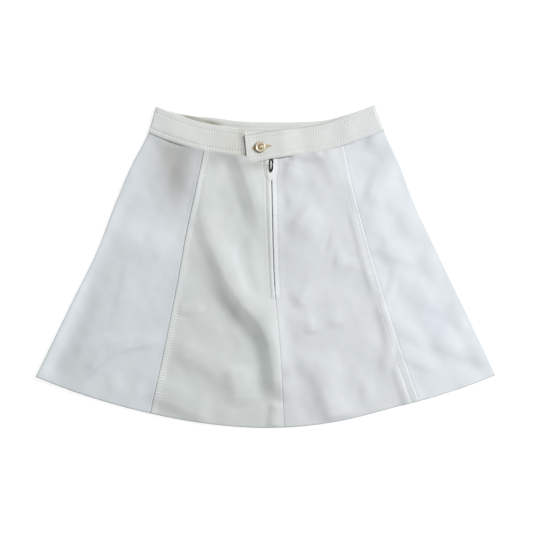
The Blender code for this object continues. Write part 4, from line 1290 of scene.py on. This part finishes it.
class SKIRT_OT_centre_gores(bpy.types.Operator):
    """Lays the two back centre gores, with their welts, placket and creases"""

    bl_idname = "skirt.centre_gores"
    bl_label = "Back centre gores"

    def execute(self, context):
        settings = context.scene.skirt_knit
        # The left centre gore's knit is darker than the right's: painted shade.
        colours = {-1: settings.left_colour, 1: settings.right_colour}
        for side, word in SIDES:
            cloth = make_finish(f"White double knit, back {word}", knit, colours[side])
            piece = add_cloth(f"back_{word}_cloth", centre_gore(side), cloth)
            lay(piece, [f"back_{word}"])
        return {"FINISHED"}


class SKIRT_OT_side_gores(bpy.types.Operator):
    """Lays the two side gores, which wrap round the side folds onto the front"""

    bl_idname = "skirt.side_gores"
    bl_label = "Side gores"

    def execute(self, context):
        cloth = make_finish("White double knit, sides", knit, context.scene.skirt_knit.side_colour)
        for side, word in SIDES:
            piece = add_cloth(f"side_{word}_cloth", side_gore(side), cloth)
            lay(piece, [f"side_{word}"])
        return {"FINISHED"}


class SKIRT_OT_front_gore(bpy.types.Operator):
    """Lays the front's centre gore, underneath"""

    bl_idname = "skirt.front_gore"
    bl_label = "Front gore"

    def execute(self, context):
        cloth = make_finish("White double knit, front", knit, context.scene.skirt_knit.side_colour)
        piece = add_cloth("front_cloth", front_gore(), cloth)
        lay(piece, ["front"])
        return {"FINISHED"}


class SKIRT_OT_waistband(bpy.types.Operator):
    """Lays the waistband with its button tab"""

    bl_idname = "skirt.waistband"
    bl_label = "Waistband"

    def execute(self, context):
        band, _ = waistband()
        cloth = make_finish("White double knit, waistband", knit, context.scene.skirt_knit.band_colour)
        piece = add_cloth("waistband_cloth", band, cloth)
        lay(piece, ["waistband"])
        return {"FINISHED"}


def cloth_path(cloth, rows, columns):
    """A path along a cloth's outer face: its points and their normals."""
    return cloth.outer[rows, columns], cloth.outward[rows, columns]


def nearest_row(cloth, run):
    return int(np.abs(cloth.run - run).argmin())


def tab_path(band, form):
    """Topstitching round the tab: from the right-hand band along the top row, down beside the end and back
    along the low row, each place on the band's outer face found by its share of the tab's grid."""
    grid, normal = cloth_path(band, slice(None), form.tab)
    walked = np.linalg.norm(grid[BAND_ROW] - grid[BAND_ROW, -1], axis=-1)
    last = int(np.abs(walked - TAB_END_STITCHES).argmin())
    top_run, low_run = stitch_rows(tab_share(grid[BAND_ROW, :, 0], grid[BAND_ROW, :, 1]))

    def on_grid(values, at_column, at_run):
        rows = np.interp(at_run, band.run[:, 0], np.arange(len(band.run)))
        low = np.clip(rows.astype(int), 0, len(band.run) - 2)
        part = (rows - low)[:, None]
        return values[low, at_column] * (1 - part) + values[low + 1, at_column] * part

    out = np.arange(last)
    down = np.linspace(top_run[last], low_run[last], 30)
    across = np.concatenate([out, np.full(len(down), last), out[::-1]])
    runs = np.concatenate([top_run[:last], down, low_run[:last][::-1]])
    return on_grid(grid, across, runs), on_grid(normal, across, runs)


def placket_paths():
    """Down both sides of the opening, and across below its end."""
    gores = [centre_gore(side) for side, _ in SIDES]
    last = nearest_row(gores[0], ZIP_END_RUN + PLACKET_END)
    down, across = slice(SEWN_ROWS.start, last), slice(2, STITCH_COLUMN + 1)
    paths = [cloth_path(gore, down, STITCH_COLUMN) for gore in gores]
    return paths + [cloth_path(gore, last, across) for gore in gores]


class SKIRT_OT_topstitching(bpy.types.Operator):
    """Sews the topstitching of the waistband, the princess seams and the zip placket"""

    bl_idname = "skirt.topstitching"
    bl_label = "Topstitching"

    def execute(self, context):
        thread = make_finish("White thread", spun_thread, context.scene.skirt_sewing.thread_colour)
        band, form = waistband()
        top, low = (nearest_row(band, run) for run in BAND_STITCHES)
        clear = slice(UNDER_TAB, form.near_left.stop)
        paths = [cloth_path(band, row, span) for row in (top, low) for span in (clear, form.near_right)]
        paths.append((band.inner[top, form.far], -band.outward[top, form.far]))
        paths.append(tab_path(band, form))
        self.sew("waistband_topstitching", paths, thread, "waistband_knit", 51)
        for side, word in SIDES:
            paths = [cloth_path(centre_gore(side), SEWN_ROWS, WELT_COLUMN)]
            self.sew(f"{word}_seam_topstitching", paths, thread, "white_knit", 60 + side)
        self.sew("placket_topstitching", placket_paths(), thread, "white_knit", 71)
        return {"FINISHED"}

    def sew(self, name, paths, thread, slot, seed):
        """One piece of topstitching. The seed draws its unevenness."""
        sew_on(add_piece(name, *topstitching(paths, seed), [thread]))


class SKIRT_OT_buttonhole(bpy.types.Operator):
    """Sews the buttonhole: satin stitches across both lips of its slot, and a bar at each end"""

    bl_idname = "skirt.buttonhole"
    bl_label = "Buttonhole"

    def execute(self, context):
        sewing = context.scene.skirt_sewing
        radius = sewing.thread / MM / 2
        flat = self.stitches(sewing.thread / MM * 1.15)
        height = tab_height(angle_at(flat[..., 0], flat[..., 1])) + 0.3
        places = np.dstack([flat, height])
        shape = threads(places, upward(places), radius, bow=radius * 0.5, sink=radius * 1.4)
        thread = make_finish("Tan thread", spun_thread, sewing.buttonhole_colour)
        sew_on(add_piece("buttonhole_thread", *shape, [thread]))
        return {"FINISHED"}

    def stitches(self, pitch):
        """Five places along each stitch. The lips' stitches are widest three quarters along the slot."""
        start, end = (np.array([across, MIDDLE_Y - down]) for across, down in BUTTONHOLE)
        length = np.linalg.norm(end - start)
        along = (end - start) / length
        beside = np.array([-along[1], along[0]])
        count = int(length / pitch)
        middles = start + along * (np.arange(count) + 0.5)[:, None] * pitch
        wide = np.interp(np.linspace(0, 1, count), (0, 0.3, 0.75, 1), (2.2, 2.8, 3.6, 1.2))[:, None]
        uneven = np.random.default_rng(81)
        pairs = []
        for lip in (-1, 1):
            outer = beside * lip * (wide + uneven.normal(0, 0.08, (count, 1)))
            pairs.append(np.stack([middles + beside * lip * 0.12, middles + outer], axis=1))
        for tip, way, half in ((start, -1, 2.3), (end, 1, 1.5)):
            bars = tip + along * way * (np.arange(4) * pitch)[:, None]
            pairs.append(np.stack([bars - beside * half, bars + beside * half], axis=1))
        pairs = np.concatenate(pairs)
        t = np.linspace(0, 1, 5)[:, None]
        return pairs[:, :1] * (1 - t) + pairs[:, 1:] * t


class SKIRT_OT_zip_tapes(bpy.types.Operator):
    """Lays the two halves of the zip behind the opening, each a woven tape with its row of coil teeth"""

    bl_idname = "skirt.zip_tapes"
    bl_label = "Zip tapes"

    def execute(self, context):
        settings = context.scene.skirt_fastening
        weave = make_finish("White zip tape", tape_weave, settings.tape_colour)
        for side, word in SIDES:
            piece = add_cloth(f"zip_tape_{word}_cloth", self.tape(side), weave)
            lay(piece, [f"zip_tape_{word}"])
            teeth = self.teeth(side, settings.tooth / MM)
            sew_on(add_piece(f"zip_teeth_{word}", *teeth, [weave]))
        return {"FINISHED"}

    def points_at(self, side, across, run):
        angle = line("zip_line", run) + side * to_angle(across, run)
        return upper_grid(angle, run) - [0, 0, TAPE_DEPTH]

    def tape(self, side):
        run = np.linspace(TAPE_TOP_RUN, ZIP_END_RUN + TAPE_TAIL, 110)[:, None]
        parted = 1.1 * (1 - fade(run, SLIDER_RUN + 2, SLIDER_RUN + 7))
        across = np.array([0.8, 1.2, 2.2, 3.4, 5, 6.5, 8, 10, 11.4, 11.9]) + parted
        outer = self.points_at(side, across, run)
        outward = grid_normals(outer)
        return Cloth(outer, outer - outward * TAPE, outward, run)

    def teeth(self, side, pitch):
        """Coil teeth: each a bowed loop from the tape's edge to just past the middle of the opening. The
        right half's teeth lie between the left half's."""
        first = SLIDER_RUN + 3.2
        runs = np.arange(first, ZIP_END_RUN + 1, pitch)[:, None] + (0.5 * pitch if side > 0 else 0.0)
        across = np.linspace(2.2, -0.35, 5)
        places = self.points_at(side, across, runs + np.zeros_like(across))
        return threads(places, upward(places), radius=0.42, bow=0.5, sink=0.35)


def drop_outline(length, width, taper, count):
    """Outline of a drop: an oval, narrowed by its taper from its round top to its tip."""
    turn = full_turn(count)
    down = length / 2 * (1 - np.cos(turn))
    across = width / 2 * np.sin(turn) * (1 - taper * down / length)
    return np.stack([across, -down], axis=-1)


class SKIRT_OT_zip_slider(bpy.types.Operator):
    """Builds the zip's slider: two rounded plates, the post between them and the arched bridge"""

    bl_idname = "skirt.zip_slider"
    bl_label = "Zip slider"

    def execute(self, context):
        low, high = (np.array(corner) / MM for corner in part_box("zip_slider"))
        centre, size = (low + high) / 2, high - low
        plates = [self.plate(centre, size, low[2] + lift) for lift in (0, PLATE_APART)]
        plates.append(self.post(centre, size, low[2] + PLATE_THICK / 2))
        settings = context.scene.skirt_fastening
        # The plates are near black: painted shade for the pull's eye and the slots beside the bridge.
        painted_shadow = make_finish("Blackened metal", shadow_black_metal, settings.shadow_black_colour)
        lay(add_piece("zip_slider_plates", *joined(plates), [painted_shadow]), ["zip_slider"])
        white = make_finish("White enamel, bridge", enamel, settings.enamel_colour)
        bridge = self.bridge(centre, size, high[2])
        sew_on(add_piece("zip_slider_bridge", *bridge, [white]))
        return {"FINISHED"}

    def plate(self, centre, size, base):
        """A plate, wide at its shoulders and narrow at its tail, with a rounded rim of five rings."""
        turn = full_turn(48)
        x = squared(np.cos(turn), PLATE_SQUARE) * size[0] / 2 * (0.86 + 0.14 * np.sin(turn))
        y = squared(np.sin(turn), PLATE_SQUARE) * size[1] / 2
        rings = []
        for inset, height in ((0.3, 0), (0.06, 0.16), (0.0, 0.5), (0.06, 0.84), (0.3, 1.0)):
            shrink = 1 - inset / (size[:2] / 2)
            rings.append(np.stack([
                centre[0] + x * shrink[0], centre[1] + y * shrink[1],
                np.full(len(turn), base + PLATE_THICK * height)], axis=-1))
        return loft(np.stack(rings))

    def post(self, centre, size, base):
        """The post that parts the chain, an oval column."""
        wide, long = 0.9, 1.5
        turn = full_turn(20)
        middle_y = centre[1] + size[1] / 2 - long - 0.3
        ring = np.stack([centre[0] + wide * np.cos(turn), middle_y + long * np.sin(turn), 0 * turn], axis=-1)
        return loft(np.stack([ring + [0, 0, height] for height in (base, base + PLATE_APART)]))

    def bridge(self, centre, size, top):
        """The arched bridge: a rounded strip carried along an arch over the pull's bar. The arch is a
        squared half circle, from the upper plate up to the top."""
        turn = np.linspace(0, np.pi, 28)
        middle_y = centre[1] + (size[1] - BRIDGE_LENGTH) / 2 + 0.1
        rise = top - BRIDGE_THICK / 2 - BRIDGE_FOOT
        reach = BRIDGE_LENGTH / 2 - 0.75
        arch_y = middle_y - squared(np.cos(turn), BRIDGE_SQUARE) * reach
        arch_z = BRIDGE_FOOT + np.sin(turn) ** BRIDGE_SQUARE * rise
        path = np.stack([np.full_like(turn, centre[0]), arch_y, arch_z], axis=-1)
        across = np.array([1.0, 0, 0])
        out = np.cross(unit(np.gradient(path, axis=0)), across)
        section = full_turn(16)
        flat = squared(np.cos(section), 0.5) * BRIDGE_WIDTH / 2
        high = squared(np.sin(section), 0.6) * BRIDGE_THICK / 2
        return loft(path[:, None] + flat[:, None] * across + high[:, None] * out[:, None])


class SKIRT_OT_zip_pull(bpy.types.Operator):
    """Builds the zip's pull: a flat drop with an eye round the bridge and three ribs near its tip"""

    bl_idname = "skirt.zip_pull"
    bl_label = "Zip pull"

    def execute(self, context):
        joint = next(joint for joint in frame["joints"] if joint["name"] == "pull_hinge")
        axis = np.array(joint["pos_m"]) / MM
        points, polygons, painted_shadow = self.drop()
        settings = context.scene.skirt_fastening
        white = make_finish("White enamel, pull", enamel, settings.enamel_colour)
        black = make_finish("Blackened metal, pull", shadow_black_metal, settings.shadow_black_colour)
        piece = add_piece("zip_pull_drop", points + axis, polygons, [white, black], finish_of=painted_shadow)
        lay(piece, ["zip_pull"], body="pull_tab")
        return {"FINISHED"}

    def drop(self):
        """A ring between the drop's outline and its eye: each place on it is a share w of the way out, and
        its height is half the thickness, rounded off at both edges, with three ribs across the lower part.
        The bar in the bridge and the eye's rim take the near-black metal, painted shade for the dark eye."""
        count = 96
        outer = drop_outline(PULL_LENGTH, PULL_WIDTH, PULL_TAPER, count) + [0, PULL_BAR / 2]
        eye = drop_outline(EYE_LENGTH, EYE_WIDTH, EYE_TAPER, count) - [0, PULL_BAR / 2]
        w = np.array([0, 0.012, 0.04, 0.1, 0.2, 0.3, 0.4, 0.5, 0.6, 0.7, 0.8, 0.9, 0.96, 0.988, 1])
        flat = eye[:, None] * (1 - w[:, None]) + outer[:, None] * w[:, None]
        span = np.linalg.norm(outer - eye, axis=-1)[:, None]
        edge = np.clip(np.minimum(w, 1 - w) * span / 0.4, 0, 1)
        height = PULL_THICK / 2 * (0.45 + 0.55 * np.sqrt(1 - (1 - edge) ** 2))
        for rib in PULL_RIBS:
            height = height + RIB_HEIGHT * bell(flat[..., 1], rib, 0.7) * edge
        lean = np.radians(PULL_LEAN)
        x = flat[..., 0] * np.cos(lean) + flat[..., 1] * np.sin(lean)
        y = flat[..., 1] * np.cos(lean) - flat[..., 0] * np.sin(lean)
        top = np.dstack([x, y, height])
        under = np.dstack([x, y, -np.minimum(height, PULL_THICK / 2)])[:, ::-1]
        ring = np.concatenate([top, under], axis=1)
        rows, sides = ring.shape[:2]
        grid = np.arange(rows * sides).reshape(rows, sides)
        grid = np.vstack([grid, grid[:1]])
        grid = np.hstack([grid, grid[:, :1]])
        painted_shadow = (flat[..., 1] > -1.3) | (w < 0.08)
        return ring.reshape(-1, 3), [quads(grid)], np.hstack([painted_shadow, painted_shadow[:, ::-1]]).ravel()


class SKIRT_OT_button(bpy.types.Operator):
    """Turns the button: a rounded rim, a dished face and a small boss, on a shank"""

    bl_idname = "skirt.button"
    bl_label = "Button"

    def execute(self, context):
        settings = context.scene.skirt_fastening
        points, polygons, worn = self.turned()
        pale = make_finish("Pale plating", plating, settings.gold_colour, roughest=0.34, metallic=0.3)
        gold = make_finish("Gold in the grooves", plating, settings.worn_colour, roughest=0.5, metallic=0.6)
        piece = add_piece("button_cap", points, polygons, [pale, gold], finish_of=worn)
        lay(piece, ["button"])
        return {"FINISHED"}

    def turned(self):
        """Points and polygons, and whether each polygon lies in a groove or on the rim, where gold shows."""
        low, high = (np.array(corner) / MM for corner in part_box("button"))
        centre = (low + high) / 2
        at = np.linspace(0, len(BUTTON) - 1, 3 * len(BUTTON))
        radius, height = (smooth_curve(at, np.arange(len(BUTTON)), values) for values in np.array(BUTTON).T)
        radius = np.maximum(radius, 0.02)
        spin = full_turn(64)
        points, polygons = loft(np.stack([
            centre[0] + radius[:, None] * np.cos(spin), centre[1] + radius[:, None] * np.sin(spin),
            low[2] + height[:, None] + 0 * spin], axis=-1))
        grooves = ((radius > 1.2) & (radius < 3.4)) | ((radius > 3.8) & (radius < 4.5)) | (radius > 6.8)
        worn = np.repeat(grooves[:-1], len(spin))
        return points, polygons, np.concatenate([worn, np.zeros(2 * len(spin), bool)])


class SKIRT_OT_stage(bpy.types.Operator):
    """Sets the floor, the soft light from the right, the even fill and the camera overhead"""

    bl_idname = "skirt.stage"
    bl_label = "Stage"

    def execute(self, context):
        settings = context.scene.skirt_stage
        half, top, thick = 4000.0, -0.25, 20
        corners = np.array([[-half, -half], [half, -half], [half, half], [-half, half]])
        layers = [np.column_stack([corners, np.full(4, height)]) for height in (top - thick, top)]
        sides = [[0, 1, 5, 4], [1, 2, 6, 5], [2, 3, 7, 6], [3, 0, 4, 7], [3, 2, 1, 0], [4, 5, 6, 7]]
        white = make_finish("White floor", plain_floor, settings.floor_colour)
        floor = add_piece("floor", np.concatenate(layers), [np.array(sides)], [white])
        self.light(context, settings)
        self.camera(context, settings)
        context.scene.view_settings.view_transform = "Standard"
        return {"FINISHED"}

    def light(self, context, settings):
        """A soft disk that points at the middle of the skirt, and the even fill."""
        bearing, height, distance = np.radians(27), np.radians(41), 3.0
        lamp = bpy.data.lights.new("key", "AREA")
        lamp.shape = "DISK"
        lamp.size = 1.9
        lamp.energy = settings.key_power
        key = bpy.data.objects.new("key", lamp)
        reach = distance * np.cos(height)
        key.location = (reach * np.cos(bearing), reach * np.sin(bearing), distance * np.sin(height))
        key.rotation_euler = (-key.location).to_track_quat("-Z", "Y").to_euler()
        context.collection.objects.link(key)
        world = bpy.data.worlds.new("even fill")
        world.use_nodes = True
        background = world.node_tree.nodes["Background"]
        feed(world.node_tree, background, dict(Color=(1, 1, 1, 1), Strength=settings.fill))
        context.scene.world = world

    def camera(self, context, settings):
        """The camera, so high that its view is as wide as it should be on the floor."""
        view_width, view_x, view_y = 0.7462, 0.0007, -0.00054
        lens = bpy.data.cameras.new("overhead")
        lens.lens = settings.lens
        lens.sensor_width = 36
        camera = bpy.data.objects.new("overhead", lens)
        camera.location = (view_x, view_y, view_width * settings.lens / lens.sensor_width)
        context.collection.objects.link(camera)
        context.scene.camera = camera


MAKERS = (
    SKIRT_OT_front_gore, SKIRT_OT_side_gores, SKIRT_OT_centre_gores, SKIRT_OT_waistband, SKIRT_OT_zip_tapes,
    SKIRT_OT_zip_slider, SKIRT_OT_zip_pull, SKIRT_OT_topstitching, SKIRT_OT_buttonhole, SKIRT_OT_button,
    SKIRT_OT_stage)
GROUPS = {
    "skirt_knit": KnitSettings,
    "skirt_sewing": SewingSettings,
    "skirt_fastening": FasteningSettings,
    "skirt_stage": StageSettings,
}


class SKIRT_PT_sidebar(bpy.types.Panel):
    """Lists the skirt's pieces and settings."""

    bl_idname = "SKIRT_PT_sidebar"
    bl_label = "Laid tennis skirt"
    bl_space_type = "VIEW_3D"
    bl_region_type = "UI"
    bl_category = "Skirt"

    def draw(self, context):
        for maker in MAKERS:
            self.layout.operator(maker.bl_idname)
        for name, group in GROUPS.items():
            box = self.layout.box()
            for setting in group.__annotations__:
                box.prop(getattr(context.scene, name), setting)


def register():
    for made in (*GROUPS.values(), *MAKERS, SKIRT_PT_sidebar):
        bpy.utils.register_class(made)
    for name, group in GROUPS.items():
        setattr(bpy.types.Scene, name, PointerProperty(type=group))


def unregister():
    for name in GROUPS:
        delattr(bpy.types.Scene, name)
    for made in (SKIRT_PT_sidebar, *reversed(MAKERS), *reversed(list(GROUPS.values()))):
        bpy.utils.unregister_class(made)


def main():
    register()
    for maker in MAKERS:
        group, action = maker.bl_idname.split(".")
        getattr(getattr(bpy.ops, group), action)()


if __name__ == "__main__":
    main()
